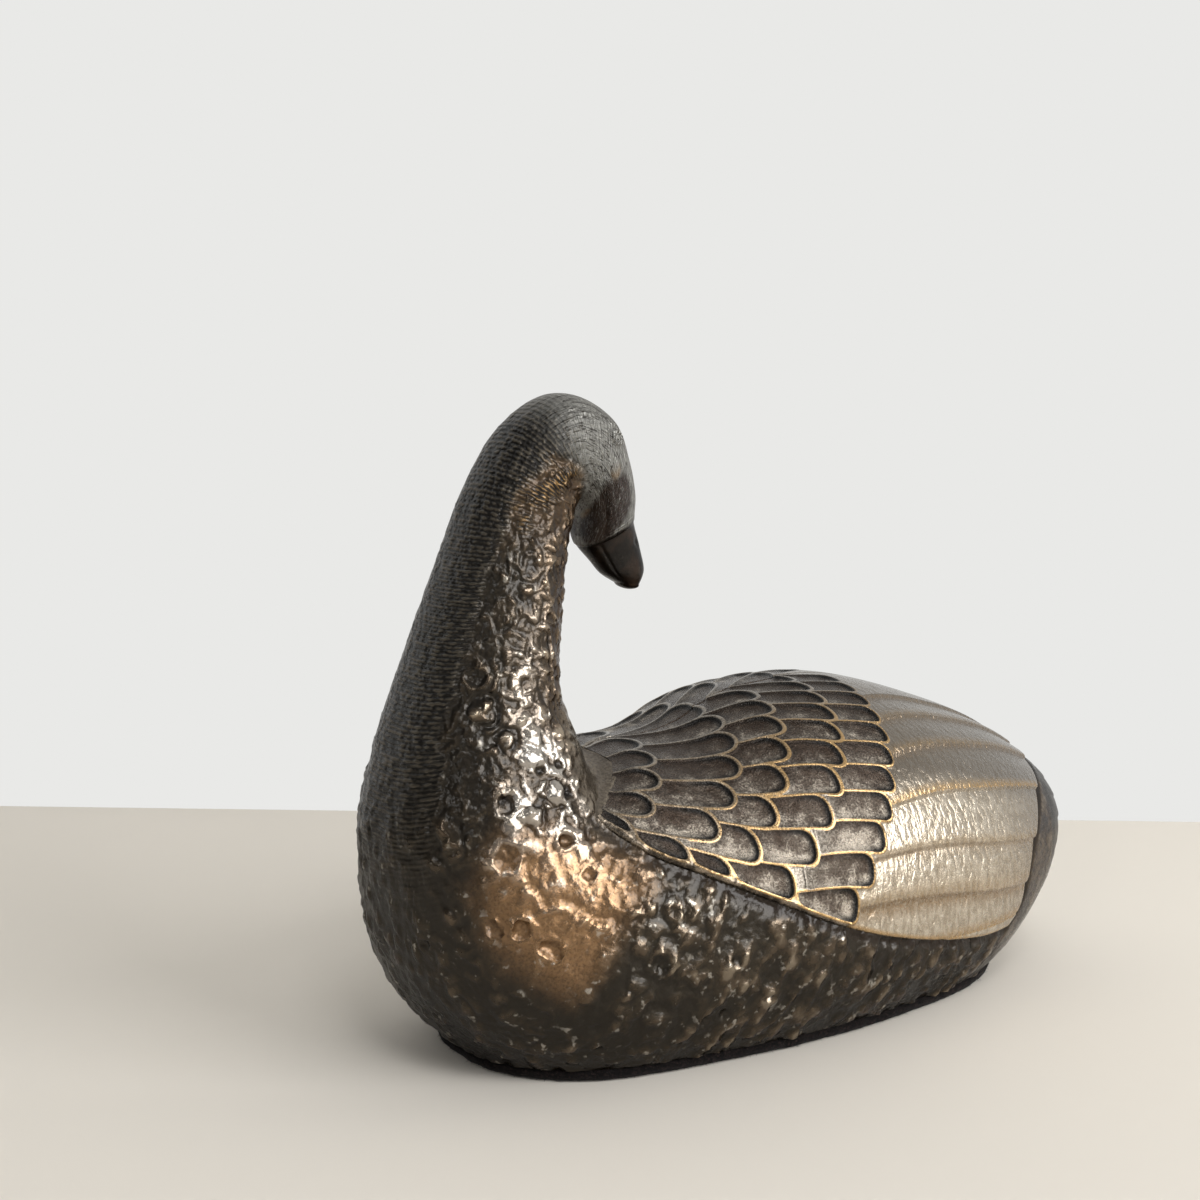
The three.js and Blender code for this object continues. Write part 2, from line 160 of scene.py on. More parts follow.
def even_samples(knots: Array, count: int) -> Array:
    """Points at equal steps along the smooth line through knots."""
    fine = curve_through(knots, np.linspace(0, len(knots) - 1, 40 * len(knots)))
    run = run_along(fine)
    return points_at(fine, run, np.linspace(0, run[-1], count))


def unit(vectors: Array) -> Array:
    """Vectors of length 1 along the given ones."""
    return vectors / (np.linalg.norm(vectors, axis=-1, keepdims=True) + 1e-9)


def grid_normals(points: Array, inner: Array) -> Array:
    """Unit normals of a grid of points, away from the inner points.

    Args:
        points: rows by columns by 3, where the last column repeats the first.
        inner: one point inside the form for each row.

    Returns:
        Normals in the shape of points.
    """
    down = np.gradient(points, axis=0)
    wide = np.concatenate([points[:, -2:-1], points, points[:, 1:2]], axis=1)
    along = (wide[:, 2:] - wide[:, :-2]) / 2.0
    return turned_outwards(unit(np.cross(along, down)), points - inner[:, None, :])


def turned_outwards(normals: Array, outward: Array) -> Array:
    """Normals turned round where they point against the outward vectors."""
    facing = np.sum(normals * outward, axis=-1, keepdims=True)
    return normals * np.where(facing < 0, -1.0, 1.0)


class CastingNoise:
    """Seeded noise on a lattice of random numbers that repeats after some cells."""

    cells = 48

    def __init__(self, seed: int) -> None:
        """Fills the lattice from the seed."""
        self.lattice = np.random.default_rng(seed).random((self.cells,) * 3 + (4,))

    def value(self, points: Array, size: float) -> Array:
        """Smooth noise from 0 to 1 with lumps of a size in millimetres."""
        spot = points / size
        base = np.floor(spot).astype(int)
        share = spot - base
        share = share * share * (3.0 - 2.0 * share)
        total = np.zeros(points.shape[:-1])
        for corner in range(8):
            step = np.array([corner & 1, corner >> 1 & 1, corner >> 2 & 1])
            cell = (base + step) % self.cells
            weight = np.prod(np.where(step == 1, share, 1.0 - share), axis=-1)
            total += weight * self.lattice[cell[..., 0], cell[..., 1], cell[..., 2], 0]
        return total

    def swing(self, points: Array, size: float) -> Array:
        """Smooth noise from -0.5 to 0.5 with lumps of a size in millimetres."""
        return self.value(points, size) - 0.5

    def warp(self, points: Array, size: float, shifts: tuple[float, ...]) -> Array:
        """Three swings as a vector to bend places by, from shifted places."""
        return np.stack([self.swing(points + shift, size) for shift in shifts], axis=-1)

    def nearest(self, points: Array, size: float) -> tuple[Array, Array, Array]:
        """Distances to scattered centres.

        Args:
            points: places in millimetres.
            size: mean distance between centres in millimetres.

        Returns:
            Distance to the nearest centre and to the second one, in sizes, and a
            random number that belongs to the nearest centre.
        """
        spot = points / size
        base = np.floor(spot).astype(int)
        first, second = (np.full(points.shape[:-1], 9.0) for _ in range(2))
        lot = np.zeros(points.shape[:-1])
        for index in range(27):
            step = np.array([index % 3, index // 3 % 3, index // 9]) - 1
            cell = (base + step) % self.cells
            jitter = self.lattice[cell[..., 0], cell[..., 1], cell[..., 2]]
            gap = np.linalg.norm(base + step + 0.15 + 0.7 * jitter[..., 1:] - spot, axis=-1)
            closer = gap < first
            second = np.where(closer, first, np.minimum(second, gap))
            lot = np.where(closer, jitter[..., 0], lot)
            first = np.where(closer, gap, first)
        return first, second, lot


# The form of the bird


@dataclass(frozen=True)
class Section:
    """One flat oval of the outer form.

    The back and keel points are in hundredths of the figure's length and height,
    and half of the width is in hundredths of the body's width.
    """

    at: str
    back: Point
    keel: Point
    half: float


@dataclass(frozen=True)
class BirdForm:
    """The smooth outer form, from the tail over the back and neck to the bill."""

    length: float = 219.0
    width: float = 105.0
    height: float = 166.5
    back_roundness: float = 2.2
    belly_roundness: float = 2.4
    sections: tuple[Section, ...] = (
        Section("tail tip", (50, 25.2), (49.8, 20.4), 5.7),
        Section("tail root", (48.2, 32.7), (45.4, 10.2), 22.9),
        Section("rump", (39.3, 40.5), (36.3, 0), 34.3),
        Section("rear of back", (27.9, 46.8), (25.6, -5.4), 42.9),
        Section("back", (13.2, 52), (13.2, -7.5), 48.1),
        Section("shoulders", (-0.9, 51.4), (-0.5, -7.8), 50),
        Section("front of back", (-11.4, 46.5), (-14.6, -7.8), 46.7),
        Section("saddle", (-20.8, 45.6), (-32.4, -4.8), 41.9),
        Section("breast", (-25.6, 45), (-46.1, 10.8), 35.2),
        Section("upper breast", (-26.7, 49.8), (-50, 31.8), 28.6),
        Section("neck root", (-28.3, 56.5), (-48.4, 47.4), 22.4),
        Section("lower neck", (-27.9, 64.3), (-44.7, 62.2), 18.1),
        Section("neck", (-26.7, 76.3), (-40.4, 76.6), 15.2),
        Section("upper neck", (-26, 79.9), (-37.4, 86.2), 13.8),
        Section("nape", (-25.3, 82.9), (-32.9, 95.2), 12.9),
        Section("top of hook", (-24.7, 83.5), (-26.7, 100), 12.4),
        Section("crown", (-24, 82.6), (-21, 97.3), 11.9),
        Section("cheeks", (-23.5, 80.8), (-18.3, 91), 11),
        Section("forehead", (-23.5, 78.7), (-16.9, 85.3), 9.5),
        Section("bill base", (-23.3, 76.6), (-16.4, 80.8), 7.1),
        Section("bill", (-21.7, 74.2), (-15.3, 76.6), 5.7),
        Section("bill front", (-20.1, 72.1), (-14.6, 72.7), 4.8),
        Section("bill tip", (-18, 70.6), (-15.3, 70.3), 3.3),
    )

    def index(self, name: str) -> int:
        """Number of the section with that name."""
        return [section.at for section in self.sections].index(name)

    def lines(self, place: Array) -> tuple[Array, Array, Array]:
        """The form's lines along the bird.

        Args:
            place: places along the bird, counted in sections.

        Returns:
            Points of the back line and of the keel line as x and z, and half of
            the width.
        """
        sizes = np.array([[*s.back, *s.keel, s.half] for s in self.sections])
        scale = np.array([self.length, self.height, self.length, self.height, self.width]) / 100.0
        values = curve_through(sizes * scale, place)
        return values[..., 0:2], values[..., 2:4], np.maximum(values[..., 4], 0.5)

    def points(self, place: Array, clock: Array, inset: float = 0.0) -> Array:
        """Points of the surface.

        Args:
            place: places along the bird, counted in sections.
            clock: angle around it, 0 on the back line, 90 on the left flank and
                180 on the keel, breast or crown line.
            inset: distance of the whole section inside the surface.

        Returns:
            Points as x, y and z.
        """
        back, keel, half = self.lines(place)
        run = keel - back
        run = run / np.linalg.norm(run, axis=-1, keepdims=True) * inset
        back, keel, half = back + run, keel - run, np.maximum(half - inset, 0.5)
        up, out = np.cos(np.radians(clock)), np.sin(np.radians(clock))
        roundness = np.where(up >= 0, self.back_roundness, self.belly_roundness)
        share = 0.5 + 0.5 * np.sign(up) * np.abs(up) ** (2.0 / roundness)
        across = np.sign(out) * np.abs(out) ** (2.0 / roundness)
        middle = keel + (back - keel) * share[..., None]
        return np.stack([middle[..., 0], -half * across, middle[..., 1]], axis=-1)

    def inner_line(self, place: Array) -> Array:
        """Points in the middle of the sections."""
        back, keel, _ = self.lines(place)
        middle = (back + keel) / 2.0
        return np.stack([middle[:, 0], np.zeros(len(middle)), middle[:, 1]], axis=1)

    def place_at(self, x: Array, clock: Array) -> Array:
        """Places where the body's surface reaches x at a clock angle."""
        first, last = np.zeros(np.shape(x)), np.full(np.shape(x), float(self.index("breast") + 1))
        return halved(lambda place: self.points(place, clock)[..., 0] > x, first, last, 26)

    def clock_at(self, x: Array, z: Array) -> Array:
        """Clock angles where the body's left flank reaches the height z at x."""
        ridge, keel = np.zeros(np.shape(x)), np.full(np.shape(x), 175.0)
        return halved(
            lambda clock: self.points(self.place_at(x, clock), clock)[..., 2] > z, ridge, keel, 22)

    def even_places(self, first: float, last: float, count: int) -> Array:
        """Places between two sections at equal steps along the outer lines."""
        fine = np.linspace(first, last, 1500)
        back, keel, _ = self.lines(fine)
        step = np.maximum(
            np.linalg.norm(np.diff(back, axis=0), axis=1),
            np.linalg.norm(np.diff(keel, axis=0), axis=1),
        )
        run = np.concatenate([[0.0], np.cumsum(step)])
        return np.interp(np.linspace(0, run[-1], count), run, fine)


# Laying and closing meshes


def select(*pieces: Piece) -> None:
    """Leaves edit mode and selects only these pieces, the first as the active one."""
    if bpy.context.object and bpy.context.object.mode != "OBJECT":
        bpy.ops.object.mode_set(mode="OBJECT")
    bpy.ops.object.select_all(action="DESELECT")
    for piece in reversed(pieces):
        piece.select_set(True)
        bpy.context.view_layer.objects.active = piece


def edit(piece: Piece, mode: str = "VERT") -> None:
    """Opens one piece in edit mode with nothing selected in it."""
    select(piece)
    bpy.ops.object.mode_set(mode="EDIT")
    bpy.ops.mesh.select_mode(type=mode)
    bpy.ops.mesh.select_all(action="DESELECT")


def lay_sheet(name: str, points: Array, values: dict[str, Array]) -> Piece:
    """Adds a grid and lays its points on a form.

    Args:
        name: name of the new object.
        points: rows by columns by 3, in millimetres.
        values: named values for each point, one number or three.

    Returns:
        The new object, at the origin.
    """
    rows, columns = points.shape[:2]
    select()
    bpy.ops.mesh.primitive_grid_add(x_subdivisions=columns - 1, y_subdivisions=rows - 1, size=1)
    piece = bpy.context.object
    piece.name = piece.data.name = name
    piece.data.vertices.foreach_set("co", (points * MM).astype(np.float32).ravel())
    for label, value in values.items():
        three = value.ndim == 3
        kind, key = ("FLOAT_VECTOR", "vector") if three else ("FLOAT", "value")
        layer = piece.data.attributes.new(label, kind, "POINT")
        layer.data.foreach_set(key, value.astype(np.float32).ravel())
    piece.data.update()
    return piece


def merge_doubles() -> None:
    """Selects all of the open piece and merges its doubled points."""
    bpy.ops.mesh.select_all(action="SELECT")
    bpy.ops.mesh.remove_doubles(threshold=SAME_POINT * MM)


def weld(piece: Piece) -> None:
    """Merges doubled points of a closed piece and turns its faces outwards."""
    edit(piece)
    merge_doubles()
    bpy.ops.mesh.normals_make_consistent(inside=False)
    bpy.ops.object.mode_set(mode="OBJECT")


def cut_below(piece: Piece, level: float) -> None:
    """Merges doubled points of a piece and cuts it off below a level."""
    edit(piece)
    merge_doubles()
    bpy.ops.mesh.select_all(action="SELECT")
    bpy.ops.mesh.bisect(plane_co=(0, 0, level * MM), plane_no=(0, 0, 1), clear_inner=True)
    bpy.ops.object.mode_set(mode="OBJECT")


def smooth(piece: Piece, angle: float) -> None:
    """Shades a piece smooth but for edges sharper than an angle."""
    select(piece)
    bpy.ops.object.shade_smooth_by_angle(angle=math.radians(angle))


def join(pieces: Sequence[Piece]) -> Piece:
    """Joins pieces into the first of them."""
    select(*pieces)
    bpy.ops.object.join()
    return pieces[0]


def dome_rows(ring: Array, outward: Array, bulge: float, count: int, power: int = 1) -> Array:
    """Rows that close a ring with a dome.

    Args:
        ring: columns by 3.
        outward: unit vector of the way that the dome bulges.
        bulge: height of the dome.
        count: number of new rows, the last of which is one point.
        power: 1 for a steep rim, 2 for a flat one.

    Returns:
        The new rows, count by columns by 3.
    """
    centre = ring[:-1].mean(axis=0)
    turns = np.linspace(0, math.pi / 2, count + 1)[1:]
    return np.stack([
        centre + (ring - centre) * math.cos(turn) + outward * bulge * math.sin(turn) ** power
        for turn in turns
    ])


def with_end_rows(values: dict[str, Array], before: int, after: int) -> dict[str, Array]:
    """Repeats the first and last rows of values, for rows added to their points."""
    return {
        key: np.concatenate([
            np.repeat(value[:1], before, axis=0), value, np.repeat(value[-1:], after, axis=0)])
        for key, value in values.items()
    }


# Zones of the skin


@dataclass(frozen=True)
class HammerBlows:
    """Cells left by one kind of blow, some raised and some sunk.

    A cell is raised where its lot is above a bound and sunk by a share elsewhere,
    and its height grows with the lot from a least one. The border is the width of
    its soft edge in cell sizes.
    """

    size: float
    height: float
    raised_above: float
    sunk: float
    least: float
    border: float

    def rise(self, noise: CastingNoise, points: Array) -> Array:
        """Height of the blows at the points."""
        near, second, lot = noise.nearest(points, self.size)
        rise = np.where(lot > self.raised_above, 1.0, -self.sunk) * (self.least + lot)
        return self.height * rise * ramp(second - near, 0.0, self.border) * np.clip(1.0 - near**2, 0, 1)


@dataclass(frozen=True)
class HammeredSkin:
    """Relief of the modelled and hammered skin: blows, folds, lumps and pits."""

    blows: HammerBlows = HammerBlows(4.6, 0.62, 0.42, 0.8, 0.5, 0.4)
    dabs: HammerBlows = HammerBlows(2.7, 0.36, 0.5, 0.9, 0.4, 0.45)
    bend: float = 3.2
    fold_size: float = 3.4
    fold_height: float = 0.38
    lump_size: float = 1.9
    lump_height: float = 0.22
    pit_spacing: float = 9.0
    pit_radius: float = 1.7
    pit_depth: float = 0.75
    pit_rim: float = 0.32
    noise: CastingNoise = field(default_factory=lambda: CastingNoise(7))

    def relief(self, points: Array, rough: Array, fine: Array) -> Array:
        """Height of the relief.

        Args:
            points: places on the smooth form.
            rough: how strongly the skin is worked there, from 0 to 1.
            fine: share of small dabs instead of blows, from 0 to 1.

        Returns:
            Heights over the smooth form in millimetres.
        """
        noise = self.noise
        bent = points + noise.warp(points, 4.0, (0.0, 31.0, 67.0)) * self.bend
        blow = blend(self.blows.rise(noise, bent), self.dabs.rise(noise, bent + 5.0), fine)
        fold = 1.0 - np.abs(2.0 * noise.value(bent + 11.0, self.fold_size) - 1.0)
        lump = noise.swing(bent + 23.0, self.lump_size)
        small = self.fold_height * (fold**4 - 0.3) + self.lump_height * lump
        gap, _, lot = noise.nearest(points + 41.0, self.pit_spacing)
        away = gap * self.pit_spacing / (self.pit_radius * (0.45 + 0.75 * lot))
        bowl = self.pit_rim * hump(away, 1.2, 0.28) - np.clip(1.0 - away**2, 0, 1)
        pit = ramp(lot, 0.3, 0.36) * self.pit_depth * bowl
        return rough * (blow + small + pit * (1.0 - fine))


@dataclass(frozen=True)
class Mark:
    """A round crater or blister at a place and clock angle, sizes in millimetres."""

    place: float
    clock: float
    radius: float
    depth: float
    rim: float = 0.3

    def height(self, form: BirdForm, points: Array) -> Array:
        """Height of the mark over the form at the points."""
        middle = form.points(np.array(self.place), np.array(self.clock))
        away = np.linalg.norm(points - middle, axis=-1) / self.radius
        return self.rim * hump(away, 1.2, 0.25) - self.depth * np.clip(1.0 - away**2, 0, 1) ** 0.7


@dataclass(frozen=True)
class Crease:
    """A wavy ridge with a groove over it, through places and clock angles."""

    knots: tuple[Point, ...]
    width: float = 1.0
    height: float = 0.55
    groove_above: float = 1.7
    groove_width: float = 0.9
    reach: float = 3.0

    def rise(self, form: BirdForm, points: Array) -> Array:
        """Height of the crease over the form at the points."""
        places = even_samples(np.array(self.knots), 24)
        away = np.full(points.shape[:-1], 99.0)
        above = np.zeros(points.shape[:-1])
        for spot in form.points(places[:, 0], places[:, 1]):
            gap = np.linalg.norm(points - spot, axis=-1)
            closer = gap < away
            above = np.where(closer, points[..., 2] - spot[2], above)
            away = np.where(closer, gap, away)
        groove = hump(above, self.groove_above, self.groove_width) * (away < self.reach)
        return self.height * (hump(away, 0.0, self.width) - 0.6 * groove)


@dataclass(frozen=True)
class Skin:
    """One stretch of skin: dressed points, and the smooth form under them.

    Each array has the rows and columns of the grid that was dressed.
    """

    points: Array
    base: Array
    normals: Array
    relief: Array
    values: dict[str, Array]


@dataclass(frozen=True)
class Spots:
    """Where the points of a stretch of skin lie.

    Folded clock angles run from 0 on the back line to 180 on the keel line down
    both flanks. Lumps and small are noise that breaks up the borders of the
    zones, and edge is the clock angle where the hatched nape begins.
    """

    place: Array
    folded: Array
    points: Array
    lumps: Array
    small: Array
    edge: Array

    def away(self, middle: Point, upright: float) -> Array:
        """Distance from a middle in the side view, counted more or less upright."""
        return np.hypot(self.points[..., 0] - middle[0], upright * (self.points[..., 2] - middle[1]))


@dataclass(frozen=True)
class Zones:
    """Share of each zone of the skin at each point, from 0 to 1."""

    bill: Array
    head: Array
    nape: Array
    front: Array
    warm: Array
    rear: Array
    tail: Array
    belly: Array
    throat: Array
    foot: Array


@dataclass(frozen=True)
class BodySkinZones:
    """Where the bird's skin is rough, dark, warm, pale or hatched, some of the dark being painted shade and
    some of the pale a painted highlight.

    Pairs of limits say where a zone fades in or out: starts count along the bird
    in sections, rounds are degrees of folded clock angle, and x, z and radii are in
    millimetres. A middle is X and Z, but that of the chin is a section and an angle.
    """

    form: BirdForm
    worked: HammeredSkin
    nape_edge: tuple[Point, ...] = ((9, 141), (11, 136), (12, 132), (13, 120), (14, 106), (15, 60))
    nape_start: Point = (8.4, 10.4)
    head_start: Point = (14.0, 15.0)
    bill_start: Point = (18.75, 19.1)
    front_start: Point = (6.4, 8.4)
    front_round: Point = (100.0, 158.0)
    neck_start: Point = (8.8, 10.6)
    throat_round: Point = (30.0, 76.0)
    foot_start: Point = (5.0, 6.5)
    foot_round: Point = (40.0, 66.0)
    fine_start: Point = (9.6, 10.8)
    gold_start: Point = (11.8, 13.4)
    rear_x: Point = (44.0, 70.0)
    tail_x: Point = (90.0, 96.0)
    tail_z: Point = (12.0, 34.0)
    belly_z: float = 56.0
    warm_middle: Point = (-80.0, 46.0)
    warm_radii: Point = (10.0, 27.0)
    warm_round: Point = (112.0, 138.0)
    # Painted highlight on the breast: its middle and radii
    highlight_middle: Point = (-80.0, 66.0)
    highlight_radii: Point = (8.0, 24.0)
    chin_middle: Point = (17.6, 52.0)
    chin_reach: Point = (1.6, 60.0)
    hatch_step: float = 0.42
    vein_step: float = 6.0
    vein_height: float = 0.8
    tail_feather: float = 17.0
    tail_step: float = 0.4
    marks: tuple[Mark, ...] = (
        Mark(8.24, 106, 2.3, 1.3),
        Mark(7.91, 102, 2.6, 1.2),
        Mark(7.96, 77, 1.7, 0.8),
        Mark(8.48, 77, 2.2, 1.1),
        Mark(8.84, 105, 3.4, 0.7, 0.4),
        Mark(9.03, 75, 2.8, -0.7, -0.5),
        Mark(8.95, 89, 2.4, -0.6, -0.4),
        Mark(9.3, 98, 2.6, 0.9, 0.5),
        Mark(10.43, 111, 3.0, -0.7, -0.5),
        Mark(10.8, 121, 2.2, 0.7, 0.4),
        Mark(10.0, 95, 2.4, -0.6, -0.4),
        Mark(9.28, 131, 3.4, -0.5, -0.2),
        Mark(8.4, 118, 2.0, 0.9),
        Mark(6.9, 92, 2.6, 1.2, 0.5),
    )
    creases: tuple[Crease, ...] = (
        Crease(((8.44, 99), (8.2, 95), (8.0, 90), (7.7, 90), (7.5, 88), (7.4, 92))),
        Crease(((8.8, 70), (8.2, 68), (7.8, 71), (7.4, 74)), 0.8, 0.45),
    )

    def landmarks(self, points: Array) -> Array:
        """Height of the named marks and creases of the left flank."""
        bent = points + 2.0 * self.worked.noise.warp(points, 2.6, (3.0, 29.0, 61.0))
        marks = sum(mark.height(self.form, bent) for mark in self.marks)
        return marks + sum(crease.rise(self.form, bent) for crease in self.creases)

    def veins(self, points: Array) -> Array:
        """Thin ridges that climb the belly towards the tail."""
        x, y, z = np.moveaxis(points, -1, 0)
        along = np.stack([x * 0.83 - z * 0.56, y * 0.4, (x * 0.56 + z * 0.83) * 0.3], axis=-1)
        bent = along + 1.6 * self.worked.noise.swing(points, 5.0)[..., None]
        ridge = 1.0 - np.abs(2.0 * self.worked.noise.value(bent + 53.0, self.vein_step) - 1.0)
        return self.vein_height * ridge**7

    def tail_laps(self, folded: Array) -> Array:
        """Lapped feathers that fan over the upper side of the tail."""
        share = (folded / self.tail_feather + 0.5) % 1.0
        lap = share * fade(share, 0.88, 1.0) - 0.45
        return self.tail_step * lap * fade(folded, 98.0, 122.0)

    def spots(self, place: Array, clock: Array) -> Spots:
        """Finds where the points of a stretch of skin lie."""
        points = self.form.points(place, clock)
        lumps, small = (self.worked.noise.swing(points, size) for size in (13.0, 4.0))
        places, angles = zip(*self.nape_edge)
        edge = np.interp(place, places, angles) + 14.0 * lumps + 8.0 * small
        return Spots(place, np.minimum(clock, FULL_TURN - clock), points, lumps, small, edge)

    def zones(self, at: Spots) -> Zones:
        """Finds how far each point belongs to each zone."""
        place, folded, lumps = at.place, at.folded, at.lumps
        x, z = at.points[..., 0], at.points[..., 2]
        bill = ramp(place, *self.bill_start)
        head = ramp(place, *self.head_start) * (1.0 - bill)
        nape = ramp(folded, at.edge - 6.0, at.edge + 7.0) * ramp(place, *self.nape_start) * (1.0 - bill)
        front = ramp(folded + 26.0 * lumps, *self.front_round) * ramp(place, *self.front_start)
        warm = fade(at.away(self.warm_middle, 1.15) + 14.0 * lumps, *self.warm_radii)
        warm *= fade(folded + 16.0 * at.small, *self.warm_round)
        rear = ramp(x, *self.rear_x)
        tail = ramp(x, *self.tail_x) * ramp(z, *self.tail_z)
        belly = ramp(self.belly_z - z - 16.0 * lumps - 0.12 * x, -14.0, 26.0)
        belly = belly * (1.0 - 0.8 * rear) * (1.0 - 0.8 * warm)
        throat = fade(folded, *self.throat_round) * ramp(place, *self.neck_start) * (1.0 - head)
        foot = fade(folded, *self.foot_round) * fade(place, *self.neck_start)
        foot = foot * ramp(place, *self.foot_start)
        return Zones(bill, head, nape, front, warm, rear, tail, belly, throat, foot)

    def tones(self, at: Spots, zone: Zones) -> Array:
        """How dark, how warm and how pale the metal is at each point; part of the dark is painted shade and
        part of the pale a painted highlight.
        """
        place, folded, lumps, head = at.place, at.folded, at.lumps, zone.head
        # Dark share: the nape and the tail, and painted dark reflection on the front and the belly
        dark = np.max([zone.nape, zone.front, 0.85 * zone.belly, 1.1 * zone.tail], axis=0)
        # Painted shade down the side of the neck turned from the light
        far_side_shade = ramp(folded + 22.0 * lumps, at.edge - 56.0, at.edge - 24.0) * ramp(place, 8.4, 9.2)
        dark = np.maximum(dark * (1.0 - 0.75 * head), 0.72 * (far_side_shade * (1.0 - head)))
        gold = np.maximum(zone.throat, ramp(place, *self.gold_start))
        gold = gold * (1.0 - zone.nape) * (1.0 - head) * (1.0 - zone.bill)
        # Pale share: painted highlights on the breast and in a band down the neck, and a paler share on the
        # rear and the neck's foot
        pale_metal_and_highlight = fade(at.away(self.highlight_middle, 0.9) + 20.0 * lumps, *self.highlight_radii)
        pale_metal_and_highlight = pale_metal_and_highlight + 0.45 * hump(folded, 88.0, 16.0) * ramp(place, 9.4, 10.0) * fade(place, 11.0, 11.8)
        pale_metal_and_highlight = pale_metal_and_highlight * (1.0 - dark) * (1.0 - 0.5 * zone.warm) + 0.35 * zone.rear * (1 - zone.tail)
        pale_metal_and_highlight = np.maximum(np.clip(pale_metal_and_highlight, 0, 1), 0.25 * zone.foot)
        return np.stack([dark, np.clip(zone.warm + 0.25 * gold, 0, 1), pale_metal_and_highlight], axis=-1)

    def roughness(self, zone: Zones) -> Array:
        """How strongly the skin is worked at each point, from 0 to 1."""
        rough = blend(1.0, 0.28, np.maximum(zone.nape, 0.45 * zone.throat))
        rough = rough * (1.0 - 0.9 * zone.head) * (1.0 - zone.bill)
        rough *= (
            (1.0 - 0.9 * zone.rear) * (1.0 - 0.62 * zone.warm)
            * (1.0 - 0.2 * zone.belly) * (1.0 - 0.2 * zone.front)
        )
        return rough * (1.0 - 0.85 * zone.foot)

    def plumes(self, at: Spots, zone: Zones) -> tuple[Array, Array, Array]:
        """Shares of the gilt comb beside the nape, of the chin patch and of its gilt brow."""
        place, small = at.place, at.small
        comb = hump(at.folded, at.edge - 16.0, 13.0) * ramp(place, 12.1, 12.9) * fade(place, 14.0, 14.8)
        comb *= ramp(small, -0.2, 0.1)
        along = (place - self.chin_middle[0]) / self.chin_reach[0]
        around = (at.folded - self.chin_middle[1]) / self.chin_reach[1]
        patch = np.hypot(along, around) + 0.2 * small + 0.15 * at.lumps
        chin = fade(patch, 0.8, 1.04) * zone.head
        brow = hump(patch, 0.95, 0.12) * fade(place, 16.7, 17.0) * ramp(small, -0.02, 0.2) * zone.head
        return comb, chin, brow

    def dress(self, place: Array, clock: Array) -> Skin:
        """Lays relief and tones on the form.

        Args:
            place: places along the bird, rows by columns.
            clock: clock angles, rows by columns.

        Returns:
            The dressed skin.
        """
        at = self.spots(place, clock)
        zone, points, x = self.zones(at), at.points, at.points[..., 0]
        rough = self.roughness(zone)
        comb, chin, brow = self.plumes(at, zone)
        relief = self.worked.relief(points, rough, ramp(place, *self.fine_start))
        relief = relief + self.veins(points) * zone.belly * (1.0 - zone.warm) * ramp(x, -70.0, -40.0)
        relief = relief + self.landmarks(points) * (1.0 - zone.nape)
        relief = relief + self.tail_laps(at.folded) * ramp(x, 97.0, 103.0) * ramp(place, 0.05, 0.5)
        middle = self.form.inner_line(place[:, 0])
        normals = grid_normals(points, middle)
        along = np.broadcast_to(run_along(middle)[:, None], place.shape)
        parts = {
            "make": (rough * (1.0 - 0.5 * zone.belly), zone.bill, relief + 0.15 * zone.foot),
            "lay": (along, at.folded * self.hatch_step, np.clip(zone.nape + comb, 0, 1)),
            "plume": (zone.head, np.maximum(0.8 * comb, 0.4 * brow), chin),
        }
        values = {"tone": self.tones(at, zone)}
        values |= {key: np.stack(value, axis=-1) for key, value in parts.items()}
        values["plain"] = zone.foot
        return Skin(points + normals * relief[..., None], points, normals, relief, values)


# Castings


@dataclass(frozen=True)
class WingOutline:
    """Outline of a wing from the side, in hundredths of length and height."""

    form: BirdForm
    front: tuple[Point, ...] = ((-22.8, 44.4), (-30.1, 39))
    lower: tuple[Point, ...] = (
        (-25.6, 33.9), (-18.3, 29.4), (-10, 24.3), (0, 18.6), (11, 14.4), (21.9, 11.7), (28.8, 11.4),
    )
    rear: tuple[Point, ...] = ((32, 15), (34.2, 22.2), (37.4, 28.5), (41.6, 34.5), (44.3, 39.6))

    def real(self, knots: Sequence[Point]) -> Array:
        """Knots in millimetres as x and z."""
        return np.array(knots) * [self.form.length / 100.0, self.form.height / 100.0]

    def lower_line(self, count: int) -> Array:
        """Even points of the lower edge, from the shoulder to the rear corner."""
        return even_samples(self.real((self.front[-1], *self.lower)), count)

    def rear_line(self, count: int) -> Array:
        """Even points of the rear edge, from the rear corner up."""
        return even_samples(self.real((self.lower[-1], *self.rear)), count)

    def depth_inside(self, x: Array, z: Array) -> Array:
        """Distance inside the outline, negative outside it, seen from the side."""
        top = 2.0 * self.form.height
        first, last = self.real(self.front)[0], self.real(self.rear)[-1]
        line = np.concatenate([
            [[last[0], top], [first[0], top], first], self.lower_line(60), self.rear_line(30)[1:],
        ])
        ends = np.roll(line, -1, axis=0)
        spot = np.stack([x, z], axis=-1)
        nearest = np.full(x.shape, 1e9)
        inside = np.zeros(x.shape, bool)
        for start, end in zip(line, ends):
            run = end - start
            share = np.clip(np.sum((spot - start) * run, axis=-1) / (np.dot(run, run) + 1e-9), 0, 1)
            nearest = np.minimum(nearest, np.linalg.norm(spot - start - share[..., None] * run, axis=-1))
            spans = (start[1] > z) != (end[1] > z)
            cross = start[0] + (z - start[1]) / (run[1] + 1e-9) * run[0]
            inside ^= spans & (x < cross)
        return np.where(inside, nearest, -nearest)


